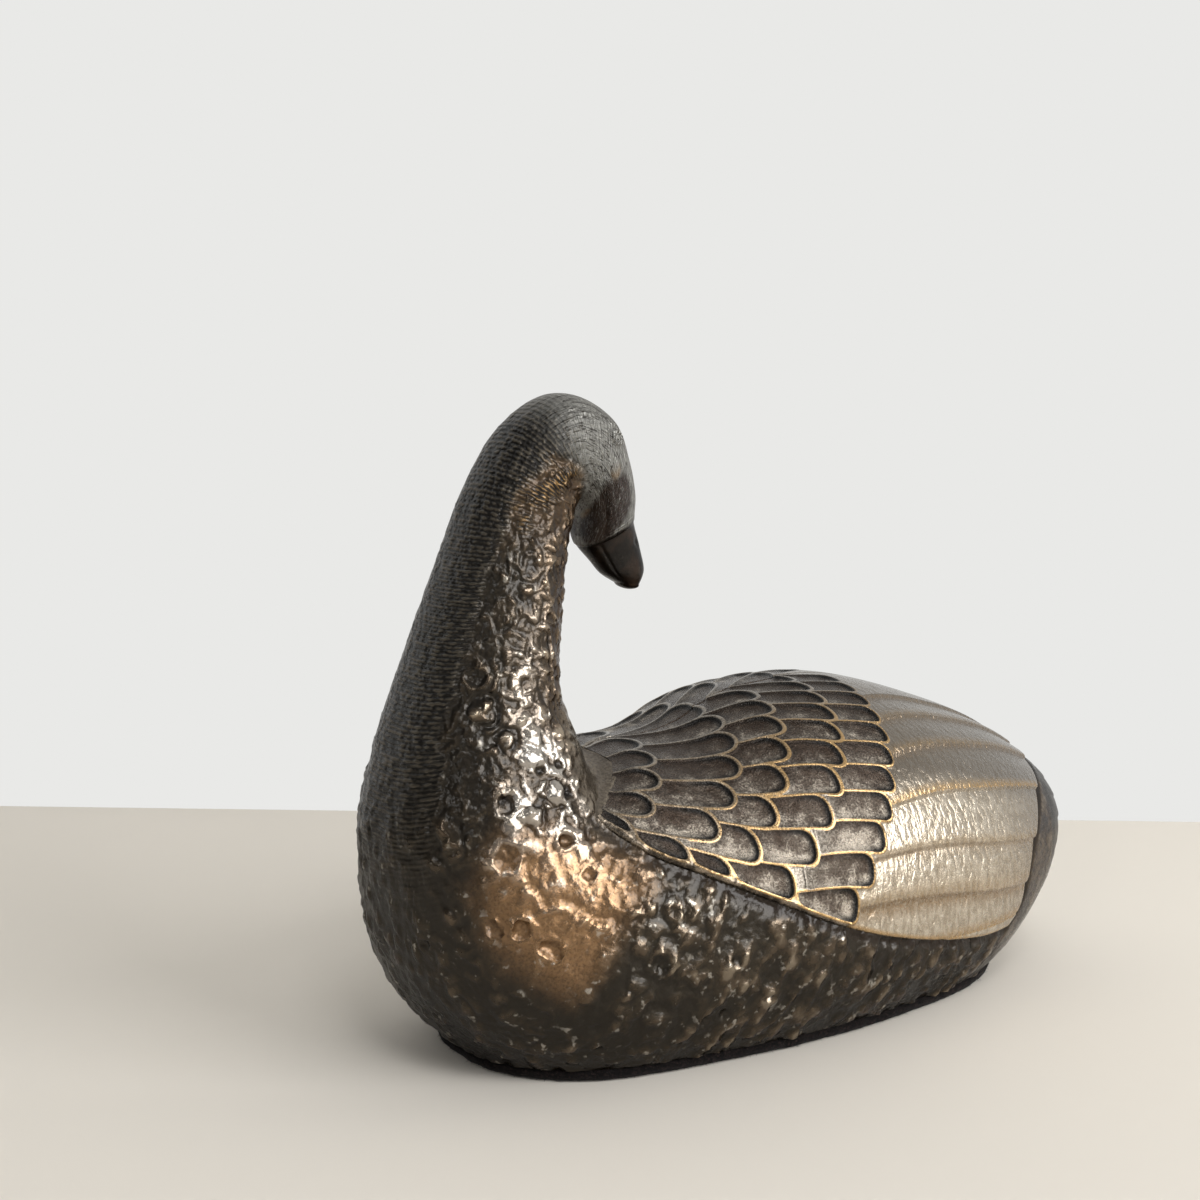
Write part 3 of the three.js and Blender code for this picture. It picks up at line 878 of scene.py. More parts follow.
@dataclass(frozen=True)
class BodyCasting:
    """Hollow body, open below, with seats for the wings and a rim for the plate."""

    form: BirdForm
    zones: BodySkinZones
    outline: WingOutline
    rows: int = 330
    columns: int = 350
    column_shift: float = 15.0
    tail_rows: int = 7
    tail_bulge: float = 0.8
    wall: float = 4.0
    seat_depth: float = 1.9
    groove_depth: float = 0.8
    bottom: float = 3.2
    ledge: float = 4.9
    inner_start: float = 1.4
    waist: float = 20.0
    inner_rows: int = 44
    inner_columns: int = 48

    def build(self) -> Piece:
        """Builds the body as one closed wall."""
        piece = join([self.outer_skin(), self.inner_wall()])
        for above in (True, False):
            self.bridge(piece, above)
        weld(piece)
        smooth(piece, 50)
        return piece

    def outer_skin(self) -> Piece:
        """Dense outer skin, cut off at the bottom."""
        seam = self.form.index("neck root")
        # The columns stand closer on the belly than on the ridge, which the wings cover
        around = np.linspace(0, FULL_TURN, self.columns + 1)
        around = around + self.column_shift * np.sin(np.radians(around))
        along = self.form.even_places(0.0, seam, self.rows)
        skin = self.zones.dress(*np.meshgrid(along, around, indexing="ij"))
        inside = self.outline.depth_inside(skin.base[..., 0], skin.base[..., 2])
        behind = ramp(skin.base[..., 0], -52.0, -34.0)
        groove = hump(inside, -1.0, 1.2) * (0.4 + 0.6 * behind)
        calm = 1.0 - ramp(inside, -0.9, 0.3) * (0.35 + 0.65 * behind)
        sunk = self.seat_depth * ramp(inside, 0.6, 1.5)
        move = skin.relief * (calm - 1.0) - self.groove_depth * groove - sunk
        points = skin.points + skin.normals * move[..., None]
        # The groove under the wing's edge is also painted dark, as shade
        values = skin.values | {"groove": groove}
        values["tone"][..., 0] = np.maximum(values["tone"][..., 0], groove)
        values["make"][..., 2] += move * (inside < 0.5)
        tail = dome_rows(points[0], np.array([1.0, 0.0, -0.15]), self.tail_bulge, self.tail_rows, 2)[::-1]
        values = with_end_rows(values, self.tail_rows, 0)
        piece = lay_sheet("body_skin", np.concatenate([tail, points]), values)
        cut_below(piece, self.bottom)
        return piece

    def inner_wall(self) -> Piece:
        """Plain inner wall, cut off at the ledge of the plate."""
        along = np.linspace(self.inner_start, self.form.index("neck root"), self.inner_rows)
        around = np.linspace(0, FULL_TURN, self.inner_columns + 1)
        points = self.form.points(*np.meshgrid(along, around, indexing="ij"), self.wall)
        tail = dome_rows(points[0], np.array([1.0, 0.0, 0.0]), 3.0, 4)[::-1]
        piece = lay_sheet("body_inner_wall", np.concatenate([tail, points]), {})
        cut_below(piece, self.ledge)
        return piece

    def bridge(self, piece: Piece, above: bool) -> None:
        """Joins the two walls above the waist by a flat lip, or below it by the plate's rim."""
        edit(piece, "EDGE")
        bpy.ops.mesh.select_non_manifold(extend=False)
        bpy.ops.object.mode_set(mode="OBJECT")
        corners, edges = piece.data.vertices, piece.data.edges
        places = np.empty(len(corners) * 3, np.float32)
        ends = np.empty(len(edges) * 2, np.int32)
        chosen = np.empty(len(edges), bool)
        for items, key, values in (
            (corners, "co", places), (edges, "vertices", ends), (edges, "select", chosen),
        ):
            items.foreach_get(key, values)
        high = places[2::3][ends.reshape(-1, 2)].min(axis=1) > self.waist * MM
        corners.foreach_set("select", np.zeros(len(corners), bool))
        edges.foreach_set("select", chosen & (high == above))
        bpy.ops.object.mode_set(mode="EDIT")
        bpy.ops.mesh.bridge_edge_loops()
        bpy.ops.object.mode_set(mode="OBJECT")


@dataclass(frozen=True)
class EyeRelief:
    """A small eye in relief: a ring round a low pupil, in a shallow socket."""

    place: float = 16.1
    clock: float = 118.0
    ring_radius: float = 1.55
    ring_width: float = 0.5
    ring_height: float = 0.5
    pupil_radius: float = 0.9
    pupil_height: float = 0.5
    socket_radius: float = 2.7
    socket_width: float = 0.6
    socket_depth: float = 0.25

    def height(self, form: BirdForm, points: Array) -> Array:
        """Height of both eyes over the head."""
        total = np.zeros(points.shape[:-1])
        for clock in (self.clock, FULL_TURN - self.clock):
            middle = form.points(np.array(self.place), np.array(clock))
            away = np.linalg.norm(points - middle, axis=-1)
            total += self.ring_height * hump(away, self.ring_radius, self.ring_width)
            total += self.pupil_height * np.sqrt(np.clip(1.0 - (away / self.pupil_radius) ** 2, 0, 1))
            total -= self.socket_depth * hump(away, self.socket_radius, self.socket_width)
        return total


@dataclass(frozen=True)
class NeckCasting:
    """Hollow neck with the head, its eyes and its bill, and the spigot below."""

    form: BirdForm
    zones: BodySkinZones
    eyes: EyeRelief = EyeRelief()
    rows: int = 318
    columns: int = 296
    spigot_inset: float = 4.3
    spigot_length: float = 8.0
    mouth_clock: float = 50.0
    mouth_depth: float = 0.22
    nostril_depth: float = 0.4
    feather_step: float = 0.35
    brow_height: float = 0.35

    def build(self) -> Piece:
        """Builds the neck and head as one closed skin."""
        form = self.form
        seam, tip = form.index("neck root"), len(form.sections) - 1
        along, around = form.even_places(seam, tip, self.rows), np.linspace(0, FULL_TURN, self.columns + 1)
        place, clock = np.meshgrid(along, around, indexing="ij")
        skin = self.zones.dress(place, clock)
        detail = self.eyes.height(form, skin.base) + self.bill_relief(place, clock)
        skin.values["make"][..., 2] += detail
        points = skin.points + skin.normals * detail[..., None]
        lip = form.points(place[:1], clock[:1], self.spigot_inset)[0]
        down = form.inner_line(np.array([seam - 0.4]))[0] - form.inner_line(np.array([float(seam)]))[0]
        down = down / np.linalg.norm(down)
        foot = lip + down * self.spigot_length
        base = dome_rows(foot, down, 0.0, 4)[::-1]
        end = dome_rows(points[-1], np.array([0.35, 0.0, -0.94]), 1.7, 7)
        values = with_end_rows(skin.values, len(base) + 2, len(end))
        points = np.concatenate([base, foot[None], lip[None], points, end])
        piece = lay_sheet("neck_and_head_skin", points, values)
        weld(piece)
        smooth(piece, 50)
        return piece

    def bill_relief(self, place: Array, clock: Array) -> Array:
        """Mouth line, nostrils, the step where the feathers end, and the brow."""
        folded = np.minimum(clock, FULL_TURN - clock)
        on_bill = ramp(place, 18.9, 19.4) * fade(place, 21.0, 21.8)
        mouth = -self.mouth_depth * hump(folded, self.mouth_clock, 5.0) * on_bill
        nostril = -self.nostril_depth * hump(folded, 128.0, 9.0) * hump(place, 19.75, 0.16)
        step = -self.feather_step * ramp(place, 18.9, 19.06) * fade(place, 20.0, 22.0)
        brow = self.brow_height * hump(folded, 135.0, 16.0) * hump(place, 16.2, 0.6)
        return mouth + nostril + step + brow


@dataclass(frozen=True)
class CovertColumn:
    """One column of covert feathers.

    Tips lie from ridge to low in hundredths of the figure's length; angles are
    clock angles, and the lean is in degrees a millimetre.
    """

    ridge: float
    low: float
    first: float
    step: float
    count: int
    lean: float
    squareness: float
    tip_round: float
    gilding: float


@dataclass(frozen=True)
class LongFeather:
    """Upper edge of a long feather, the tan band above it, partly rubbed and partly a painted reflection,
    and the painted shadow below it.

    The edge lies at one clock angle at the front and at another at the rear.
    """

    front: float
    rear: float
    tan_edge_and_reflection: float
    shadow_below: float


@dataclass(frozen=True)
class PocketField:
    """Where points lie in the covert pockets, one value for each point."""

    depth_inside: Array
    share: Array
    lot: Array
    across: Array
    gilding: Array


@dataclass(frozen=True)
class WingCasting:
    """Wing plate with five columns of pocketed coverts and the long primaries.

    Its grid is laid out in x and clock angle, where a degree round the body counts
    as one pitch of millimetres.
    """

    form: BirdForm
    zones: BodySkinZones
    outline: WingOutline
    coverts: tuple[CovertColumn, ...] = (
        CovertColumn(-17.4, -26.5, 8, 11.3, 5, 0.1, 2.0, 5.0, 0.12),
        CovertColumn(-6.4, -21, 2, 10, 7, 0.25, 2.1, 4.4, 0.4),
        CovertColumn(-0.5, -16.4, 8.8, 8.8, 8, 0.5, 2.3, 4.0, 0.75),
        CovertColumn(6.8, -9.1, 4.4, 8, 10, 0.5, 2.5, 3.6, 1.0),
        CovertColumn(12.8, -0.9, 8.4, 8, 11, 0.3, 2.6, 3.4, 1.0),
    )
    pitch: float = 0.9
    first_covert_length: float = 21.0
    covert_overlap: float = 7.0
    sweep: float = 2.2
    rib: float = 0.45
    rim: float = 0.75
    proud: float = 1.0
    front_proud: float = 0.12
    front_reach: float = 7.0
    sunk: float = 1.6
    root_depth: float = 0.15
    tip_depth: float = 0.95
    wall_run: float = 0.4
    crest: float = 0.14
    beaten_height: float = 0.3
    beaten_size: float = 1.5
    margin: float = 1.5
    edge_radii: tuple[tuple[str, float], ...] = (("lower", 1.2), ("rear", 1.1), ("ridge", 0.4))
    primaries: tuple[LongFeather, ...] = (
        LongFeather(29, 6, 0.3, 0.4),
        LongFeather(40.5, 18, 0.3, 0.4),
        LongFeather(53, 33, 0.4, 0.4),
        LongFeather(66, 55, 1.0, 0.1),
        LongFeather(77, 80, 0.25, 0.6),
        LongFeather(88.5, 95, 0.4, 1.0),
        LongFeather(103, 104, 1.0, 1.0),
    )
    primary_front: float = -2.7
    primary_rear: float = 47.5
    primary_step: float = 0.95
    primary_lip: float = 0.22
    rows: int = 250
    columns: int = 370
    covert_columns: int = 270
    covert_share: float = 0.6
    under_step: int = 4

    def lengthwise(self, share: float) -> float:
        """Real place along the bird of a share in hundredths."""
        return share / 100.0 * self.form.length

    @cached_property
    def arc_table(self) -> Array:
        """Millimetres in a degree around the body, by steps of 2 mm and 2 degrees."""
        x, clock = np.meshgrid(np.arange(-80.0, 112.0, 2.0), np.arange(0.0, 122.0, 2.0), indexing="ij")
        low = self.form.points(self.form.place_at(x, clock - 1.0), clock - 1.0)
        high = self.form.points(self.form.place_at(x, clock + 1.0), clock + 1.0)
        return np.linalg.norm(high - low, axis=-1) / 2.0

    def arc(self, x: Array, clock: Array) -> Array:
        """Millimetres in a degree around the body at each point."""
        table = self.arc_table
        row = np.clip((x + 80.0) / 2.0, 0, table.shape[0] - 1.001)
        column = np.clip(clock / 2.0, 0, table.shape[1] - 1.001)
        i, j = row.astype(int), column.astype(int)
        u, v = row - i, column - j
        top = blend(table[i, j], table[i, j + 1], v)
        return blend(top, blend(table[i + 1, j], table[i + 1, j + 1], v), u)

    def build(self, side: Side) -> Piece:
        """Builds one wing plate as a closed piece."""
        x, clock = self.grid()
        for target in (0.0, self.wall_run):
            x, clock = self.snap(x, clock, target)
        base, normals = self.base_and_normals(x, clock)
        inside, share, lot, across, gilding = vars(self.pockets(x, clock)).values()
        lap, below, above, primary = self.primary_field(x, clock)
        edges = self.edge_distances(base)
        inside = self.held_off(inside, edges["lower"] - self.margin)
        floor = blend(self.tip_depth, self.root_depth, share) * (0.85 + 0.3 * lot)
        dish = 0.62 + 0.38 * ramp(inside, 0.3, 2.8)
        pocket_drop = floor * dish * ramp(inside, 0.0, self.wall_run)
        skin = self.zones.dress(self.form.place_at(x, clock), clock)
        beaten = self.zones.worked.noise.swing(base + 9.0, self.beaten_size)
        crest = self.crest * hump(inside, -0.2, 0.3)
        height = self.proud + crest - pocket_drop - lap * ramp(-inside, 0.2, 0.9)
        height = height + self.beaten_height * beaten * ramp(inside, 0.3, 0.9)
        risen = ramp(edges["front"], 0.0, self.front_reach)
        height = blend(self.front_proud + 0.35 * (height - self.proud), height, risen)
        rounding = sum(self.rounded(edges[key], radius) for key, radius in self.edge_radii)
        margin = fade(edges["lower"], 1.2, 2.6) * (1.0 - primary)
        margin = np.maximum(margin, 1.0 - risen) * fade(inside, 0.0, 0.6)
        height = height - rounding + 0.8 * skin.relief * margin * (1.0 - 0.8 * ramp(x, -34.0, -10.0))
        points = base + normals * height[..., None]
        gilt = gilding * risen * fade(share, 0.86, 0.93) * ramp(clock, 8.0, 42.0)
        values = {
            "pocket": np.stack([np.clip(inside, -3.0, 6.0), share, lot], axis=-1),
            # The quill values are shares of the painted shadow below each long feather's edge, of the tan
            # band with its painted reflection above it, and of the gilt
            "quill": np.stack([below, above, gilt], axis=-1),
            "lay": np.stack([x, clock * self.pitch, primary], axis=-1),
            "edge": np.minimum(edges["lower"], edges["rear"] + 0.6) + 6.0 * (1.0 - primary),
            "skin": np.stack([skin.relief, margin, skin.values["plain"]], axis=-1),
            "across": across,
        }
        return self.close(points, base, normals, values, side)

    def held_off(self, inside: Array, limit: Array) -> Array:
        """Pocket depths that end at a limit, with corners rounded over 1 mm."""
        return np.minimum(inside, limit) - np.log1p(np.exp(-np.abs(inside - limit))) * (limit < 6.0)

    def grid(self) -> tuple[Array, Array]:
        """Even grid over the wing as x and clock angle, from the ridge down."""
        outline = self.outline
        rear = outline.rear_line(400)
        ridge_line = np.zeros(len(rear))
        top = self.form.points(self.form.place_at(rear[:, 0], ridge_line), ridge_line)[:, 2]
        rear = rear[: int(np.argmax(rear[:, 1] >= top)) or len(rear)]
        rear_edge = self.on_form(rear)[::-1]
        rear_edge[0, 1] = 0.0
        front_edge = self.on_form(outline.real(outline.front))
        front_edge = np.concatenate([[[front_edge[0, 0], 0.0]], front_edge])
        down = np.linspace(0, 1, self.rows)
        dense = np.linspace(0, self.covert_share, self.covert_columns, endpoint=False)
        back = np.append(dense, np.linspace(self.covert_share, 1, self.columns - len(dense)))
        front_line, rear_line = (self.resample(edge, down)[:, None] for edge in (front_edge, rear_edge))
        low_line = self.resample(self.on_form(outline.lower_line(self.columns)), back)[None]
        down, back = down[:, None, None], back[None, :, None]
        ridge = blend(front_line[:1], rear_line[:1], back)
        corners = (
            (1 - back) * (1 - down) * ridge[0, 0] + back * (1 - down) * ridge[0, -1]
            + (1 - back) * down * low_line[0, 0] + back * down * low_line[0, -1]
        )
        patch = (1 - down) * ridge + down * low_line + (1 - back) * front_line + back * rear_line - corners
        return patch[..., 0], patch[..., 1]

    def on_form(self, line: Array) -> Array:
        """Side view points as x and clock angle on the left flank."""
        return np.stack([line[:, 0], self.form.clock_at(line[:, 0], line[:, 1])], axis=1)

    def resample(self, line: Array, shares: Array) -> Array:
        """Points at shares of the length of a line of x and clock angle."""
        run = run_along(line * [1.0, self.pitch])
        return points_at(line, run, shares * run[-1])

    def base_and_normals(self, x: Array, clock: Array) -> tuple[Array, Array]:
        """Points of the smooth body under the wing, and their outward normals."""
        place = self.form.place_at(x, clock)
        base = self.form.points(place, clock)
        step = 0.5
        along = self.form.points(place + 0.02, clock) - self.form.points(place - 0.02, clock)
        around = self.form.points(place, clock + step) - self.form.points(place, np.abs(clock - step))
        around[clock < step] = [0.0, -1.0, 0.0]
        outward = (base - [0.0, 0.0, 40.0]) * [0.0, 1.0, 1.0]
        return base, turned_outwards(unit(np.cross(along, around)), outward)

    def pockets(self, x: Array, clock: Array) -> PocketField:
        """Finds for each point how deep it lies inside the nearest pocket."""
        outside = np.full(x.shape, -9.0)
        found = np.stack([outside, *np.zeros((4, *x.shape))])
        ahead = outside
        arc = self.arc(x, clock)
        lots = np.random.default_rng(3).random(100)
        for number, column in enumerate(self.coverts):
            best = np.stack([outside, *np.zeros((3, *x.shape))])
            length = self.covert_length(number)
            for index in range(column.count):
                depth, tip, aside = self.tongue(column, index, length, x, clock, arc)
                lot = np.full(x.shape, lots[number * 20 + index])
                best = np.where(depth > best[0], np.stack([depth, tip, lot, aside]), best)
            depth, tip, lot, aside = best
            shown = np.minimum(depth, -(ahead + self.rim))
            share, across = np.clip(tip / length, 0, 1), np.clip(aside, -1, 1)
            gilding = np.full(x.shape, column.gilding)
            found = np.where(shown > found[0], np.stack([shown, share, lot, across, gilding]), found)
            ahead = depth
        return PocketField(*found)

    def covert_length(self, number: int) -> float:
        """Length of a column's feathers, from their tips to under the next column."""
        if number == 0:
            return self.first_covert_length
        step = self.coverts[number].ridge - self.coverts[number - 1].ridge
        return self.lengthwise(step) + self.covert_overlap

    def tip_line(self, column: CovertColumn, clock: Array | float) -> Array:
        """Where the tips of a column lie along the bird at a clock angle."""
        last = column.first + column.step * (column.count - 1)
        return self.lengthwise(blend(column.ridge, column.low, (clock / last) ** self.sweep))

    def tongue(
        self, column: CovertColumn, index: int, length: float, x: Array, clock: Array, arc: Array
    ) -> tuple[Array, Array, Array]:
        """Measures one rounded tongue.

        Args:
            column: the column that it belongs to.
            index: its number from the ridge down.
            length: its length.
            x: places along the bird.
            clock: clock angles.
            arc: millimetres in a degree there.

        Returns:
            Depth inside it, distance from its tip, and place across it, from -1
            at its upper side to 1 at its lower side.
        """
        middle = column.first + column.step * index
        tip = float(self.tip_line(column, middle))
        above, below = max(middle - column.step / 2, 0.0), middle + column.step / 2
        fan = column.lean * float(self.tip_line(column, above) - self.tip_line(column, below))
        half = (below - middle) * (1.0 + fan / column.step) * arc - self.rib / 2.0
        behind = tip - x
        aside = (clock - middle + column.lean * behind) * arc / half
        power, nose = column.squareness, column.tip_round
        fore = np.clip((nose - behind) / nose, 0, None)
        side = np.abs(aside)
        reach = np.maximum((fore**power + side**power) ** (1.0 / power), 1e-6)
        slope_fore = (fore / reach) ** (power - 1.0) / nose
        slope_side = (side / reach) ** (power - 1.0) / half
        depth = (1.0 - reach) / np.sqrt(slope_fore**2 + slope_side**2)
        return np.minimum(depth, length - behind), behind, aside

    def primary_field(self, x: Array, clock: Array) -> tuple[Array, Array, Array, Array]:
        """Steps of the long feathers.

        Args:
            x: places along the bird.
            clock: clock angles.

        Returns:
            Depth of the lap, share of the painted shadow below an edge, share of the
            tan band above an edge, which is partly a painted reflection, and how far the
            point belongs to the long feathers, from 0 to 1.
        """
        front, rear = self.lengthwise(self.primary_front), self.lengthwise(self.primary_rear)
        share = np.clip((x - front) / (rear - front), 0, 1)
        start = self.tip_line(self.coverts[-1], np.maximum(clock, 0.0))
        primary = ramp(x - start, -4.0, 0.5)
        lap, below, above = (np.zeros(x.shape) for _ in range(3))
        for feather, following in zip(self.primaries[:-1], self.primaries[1:]):
            upper = blend(feather.front, feather.rear, share)
            lower = blend(following.front, following.rear, share)
            here = (clock >= upper) & (clock < lower)
            down, up = (clock - upper) * self.pitch, (lower - clock) * self.pitch
            across = np.clip((clock - upper) / (lower - upper), 0, 1)
            slope = self.primary_step * (1.0 - across) ** 1.4 * ramp(down, -0.3, 1.1)
            lap = np.where(here, slope + self.primary_lip * fade(up, 0.0, 1.2), lap)
            below = np.where(here, feather.shadow_below * fade(down, 0.4, 4.2), below)
            above = np.where(here, following.tan_edge_and_reflection * fade(up, 0.0, 3.8), above)
        return lap * primary, below * primary, above * primary, primary

    def snap(self, x: Array, clock: Array, target: float) -> tuple[Array, Array]:
        """Moves grid points that lie near a contour of the pockets onto it."""

        def depth(along: Array, around: Array) -> Array:
            """Depth inside the pockets."""
            return self.pockets(along, around).depth_inside

        tiny = 0.05
        slope_x = (depth(x + tiny, clock) - depth(x - tiny, clock)) / (2 * tiny)
        slope_c = (depth(x, clock + tiny) - depth(x, np.abs(clock - tiny))) / (2 * tiny * self.pitch)
        steep = slope_x**2 + slope_c**2
        move = (target - depth(x, clock)) / np.maximum(steep, 0.2)
        near = (np.abs(move * np.sqrt(steep)) < 0.16) & (steep > 0.3) & (steep < 3.0)
        near[0] = near[-1] = False
        near[:, 0] = near[:, -1] = False
        return x + np.where(near, move * slope_x, 0), clock + np.where(near, move * slope_c / self.pitch, 0)

    def edge_distances(self, points: Array) -> dict[str, Array]:
        """Distance of each point from the four edges, along the grid lines."""
        steps = [np.linalg.norm(np.diff(points, axis=axis), axis=2) for axis in (0, 1)]
        down, back = (np.insert(np.cumsum(steps[axis], axis=axis), 0, 0.0, axis=axis) for axis in (0, 1))
        return {"ridge": down, "lower": down[-1] - down, "front": back, "rear": back[:, -1:] - back}

    def rounded(self, distance: Array, radius: float) -> Array:
        """Drop of an edge rounded with a radius."""
        inward = np.clip(1.0 - distance / radius, 0, 1)
        return radius * (1.0 - np.sqrt(np.clip(1.0 - inward**2, 0, 1)))

    def close(
        self, points: Array, base: Array, normals: Array, values: dict[str, Array], side: Side
    ) -> Piece:
        """Adds the plate's edge and underside and lays the piece.

        Args:
            points: the outer face, rows by columns by 3.
            base: the smooth form under it.
            normals: outward normals of the form.
            values: named values of the outer face.
            side: the flank that the wing lies on.

        Returns:
            The closed wing plate.
        """
        under = base - normals * self.sunk
        for face in (points, under):
            face[..., 1] = np.minimum(face[..., 1], -0.05)
        flip = np.array([1.0, float(-side.value), 1.0])
        outer = lay_sheet(f"{side.name.lower()}_wing_skin", points * flip, values)
        picks = [
            np.unique(np.append(np.arange(0, count, self.under_step), count - 1))
            for count in points.shape[:2]
        ]
        inner = lay_sheet("wing_underside", under[np.ix_(*picks)] * flip, {})
        piece = join([outer, inner])
        edit(piece, "EDGE")
        bpy.ops.mesh.select_non_manifold(extend=False)
        bpy.ops.mesh.bridge_edge_loops()
        bpy.ops.object.mode_set(mode="OBJECT")
        weld(piece)
        smooth(piece, 60)
        return piece


@dataclass(frozen=True)
class FeltPad:
    """Wool felt glued under the base, with loose fibres along its cut edge.

    The profile gives shares of the way from the middle to the cut edge and of the
    thickness, from the middle of the underside round to the middle of the top.
    """

    form: BirdForm
    thickness: float = 3.0
    inset: float = 0.15
    edge_points: int = 420
    profile: tuple[Point, ...] = (
        (0.0, 0.0), (0.35, 0.0), (0.97, 0.0), (1.0, 0.18), (1.006, 0.5), (1.004, 0.8), (0.985, 0.98),
        (0.97, 1.0), (0.5, 1.0), (0.0, 1.0),
    )
    worn_rows: tuple[int, ...] = (3, 4, 5, 6)
    wear: float = 0.7
    fibres: int = 1500
    fibre_length: float = 1.1
    fibre_width: float = 0.09
    fibre_spread: float = 0.75
    fibre_root: float = 0.25
    noise: CastingNoise = field(default_factory=lambda: CastingNoise(19))

    def outline(self) -> Array:
        """Outline of the base seen from above, as x and y, anticlockwise."""
        place, clock = np.meshgrid(np.linspace(1.0, 9.0, 900), np.linspace(90, 180, 500), indexing="ij")
        points = self.form.points(place, clock, self.inset)
        level = self.thickness
        rows, columns = np.nonzero((points[:, :-1, 2] > level) & (points[:, 1:, 2] <= level))
        high, low = points[rows, columns], points[rows, columns + 1]
        share = ((high[:, 2] - level) / (high[:, 2] - low[:, 2]))[:, None]
        flank = blend(high, low, share)[:, :2]
        flank = flank[np.argsort(-flank[:, 0])]
        loop = np.concatenate([flank * [1, -1], flank[::-1]])
        run = run_along(loop)
        return points_at(loop, run, np.linspace(0, run[-1], self.edge_points, endpoint=False))

    def build(self) -> Piece:
        """Builds the pad with a soft worn edge and its fibres."""
        loop = self.outline()
        centre = loop.mean(axis=0)
        closed = np.concatenate([loop, loop[:1]])
        points = np.stack([
            np.column_stack([blend(centre, closed, share), np.full(len(closed), level * self.thickness)])
            for share, level in self.profile
        ])
        wave = self.noise.value(points, 2.2) + 0.5 * self.noise.value(points, 0.9) - 0.75
        worn = np.isin(np.arange(len(points)), self.worn_rows)[:, None]
        push = np.where(worn, wave * self.wear, 0.0)
        points[..., :2] += unit(points[..., :2] - centre) * push[..., None]
        points[:, -1] = points[:, 0]
        pad = lay_sheet("felt_pad_wool", points, {})
        weld(pad)
        piece = join([pad, self.fibre_fringe(closed, centre)])
        smooth(piece, 60)
        return piece

    def fibre_fringe(self, closed: Array, centre: Array) -> Piece:
        """Short loose fibres, each a thin three-sided spike."""
        random = np.random.default_rng(5)
        spots = random.random(self.fibres) * (len(closed) - 1)
        start = np.floor(spots).astype(int)
        root = blend(closed[start], closed[start + 1], (spots - start)[:, None])
        away = unit(root - centre)
        level = random.random(self.fibres) * (self.thickness - 0.7) + 0.45
        root = np.column_stack([root - away * self.fibre_root, level])
        aim = np.column_stack([away, np.zeros(self.fibres)])
        aim = unit(aim + random.normal(0, self.fibre_spread, (self.fibres, 3)))
        tip = root + aim * (self.fibre_length * (0.4 + random.random(self.fibres)))[:, None]
        tip[:, 2] = np.clip(tip[:, 2], 0.15, self.thickness + 0.2)
        side = unit(np.cross(aim, [0.0, 0.0, 1.0]))
        ways = np.stack([side, np.cross(side, aim), tip - root], axis=1)
        select()
        bpy.ops.mesh.primitive_cone_add(vertices=3, radius1=1.0, depth=1.0)
        spike = bpy.context.object
        shape = np.array([corner.co[:] for corner in spike.data.vertices]) + [0.0, 0.0, 0.5]
        points = root[:, None] + (shape * [self.fibre_width, self.fibre_width, 1.0]) @ ways
        sides = [list(face.vertices) for face in spike.data.polygons]
        faces = [
            [corner + len(shape) * index for corner in side]
            for index in range(self.fibres) for side in sides
        ]
        mesh = bpy.data.meshes.new("felt_fibres")
        mesh.from_pydata((points.reshape(-1, 3) * MM).tolist(), [], faces)
        spike.data = mesh
        spike.name = "felt_fibres"
        return spike


# Materials

# A colour Mix has its share at 0 and its colours at 6 and 7. A Map Range has its
# value first, then the limits of that value and the limits of what it becomes.
COLOURS = {"data_type": "RGBA"}
SMOOTH = {"interpolation_type": "SMOOTHSTEP"}
TIMES = {"operation": "MULTIPLY"}
PLUS = {"operation": "ADD"}
TIMES_PLUS = {"operation": "MULTIPLY_ADD"}


def linear(hex_colour: str) -> tuple[float, float, float, float]:
    """Turns an sRGB hex colour into linear light."""
    channels = [int(hex_colour[i : i + 2], 16) / 255.0 for i in (1, 3, 5)]
    light = [c / 12.92 if c <= 0.04045 else ((c + 0.055) / 1.055) ** 2.4 for c in channels]
    return (*light, 1.0)


def feed(tree: Tree, node: Node, inputs: Inputs) -> None:
    """Sets or links inputs of a node.

    Args:
        tree: the node tree.
        node: the node that is fed.
        inputs: values for its inputs, or sockets or nodes to link to them, by name
            or number, or in order from the first input on. A node stands for its
            first output in use, and a text is a hex colour.
    """
    for key, value in inputs.items() if isinstance(inputs, dict) else enumerate(inputs):
        if isinstance(value, Node):
            value = next(output for output in value.outputs if output.enabled)
        if isinstance(value, Socket):
            tree.links.new(value, node.inputs[key])
        else:
            node.inputs[key].default_value = linear(value) if isinstance(value, str) else value


def add_node(
    tree: Tree, kind: str, settings: dict[str, object] | None = None, inputs: Inputs = ()
) -> Node:
    """Adds a node with its settings and links.

    Args:
        tree: the material's node tree.
        kind: the rest of Blender's name for the kind of node, after ShaderNode.
        settings: attributes of the node.
        inputs: what its inputs are fed with.

    Returns:
        The new node.
    """
    node = tree.nodes.new(f"ShaderNode{kind}")
    for key, value in (settings or {}).items():
        setattr(node, key, value)
    feed(tree, node, inputs)
    return node


class Finish:
    """Common base of the finishes: a named material with one surface shader."""

    name = "finish"

    def material(self) -> bpy.types.Material:
        """Makes the material, or finds it if it is there already."""
        found = bpy.data.materials.get(self.name)
        if found:
            return found
        made = bpy.data.materials.new(self.name)
        made.use_nodes = True
        tree = made.node_tree
        tree.nodes.clear()
        shader = add_node(tree, "BsdfPrincipled")
        add_node(tree, "OutputMaterial", inputs={"Surface": shader})
        self.dress(tree, shader)
        return made

    def dress(self, tree: Tree, shader: Node) -> None:
        """Fills in the shader."""
        raise NotImplementedError

    def parts(self, tree: Tree, attribute: str) -> bpy.types.NodeOutputs:
        """Reads an attribute of three numbers as its parts."""
        read = add_node(tree, "Attribute", {"attribute_name": attribute})
        return add_node(tree, "SeparateXYZ", inputs={0: read.outputs["Vector"]}).outputs


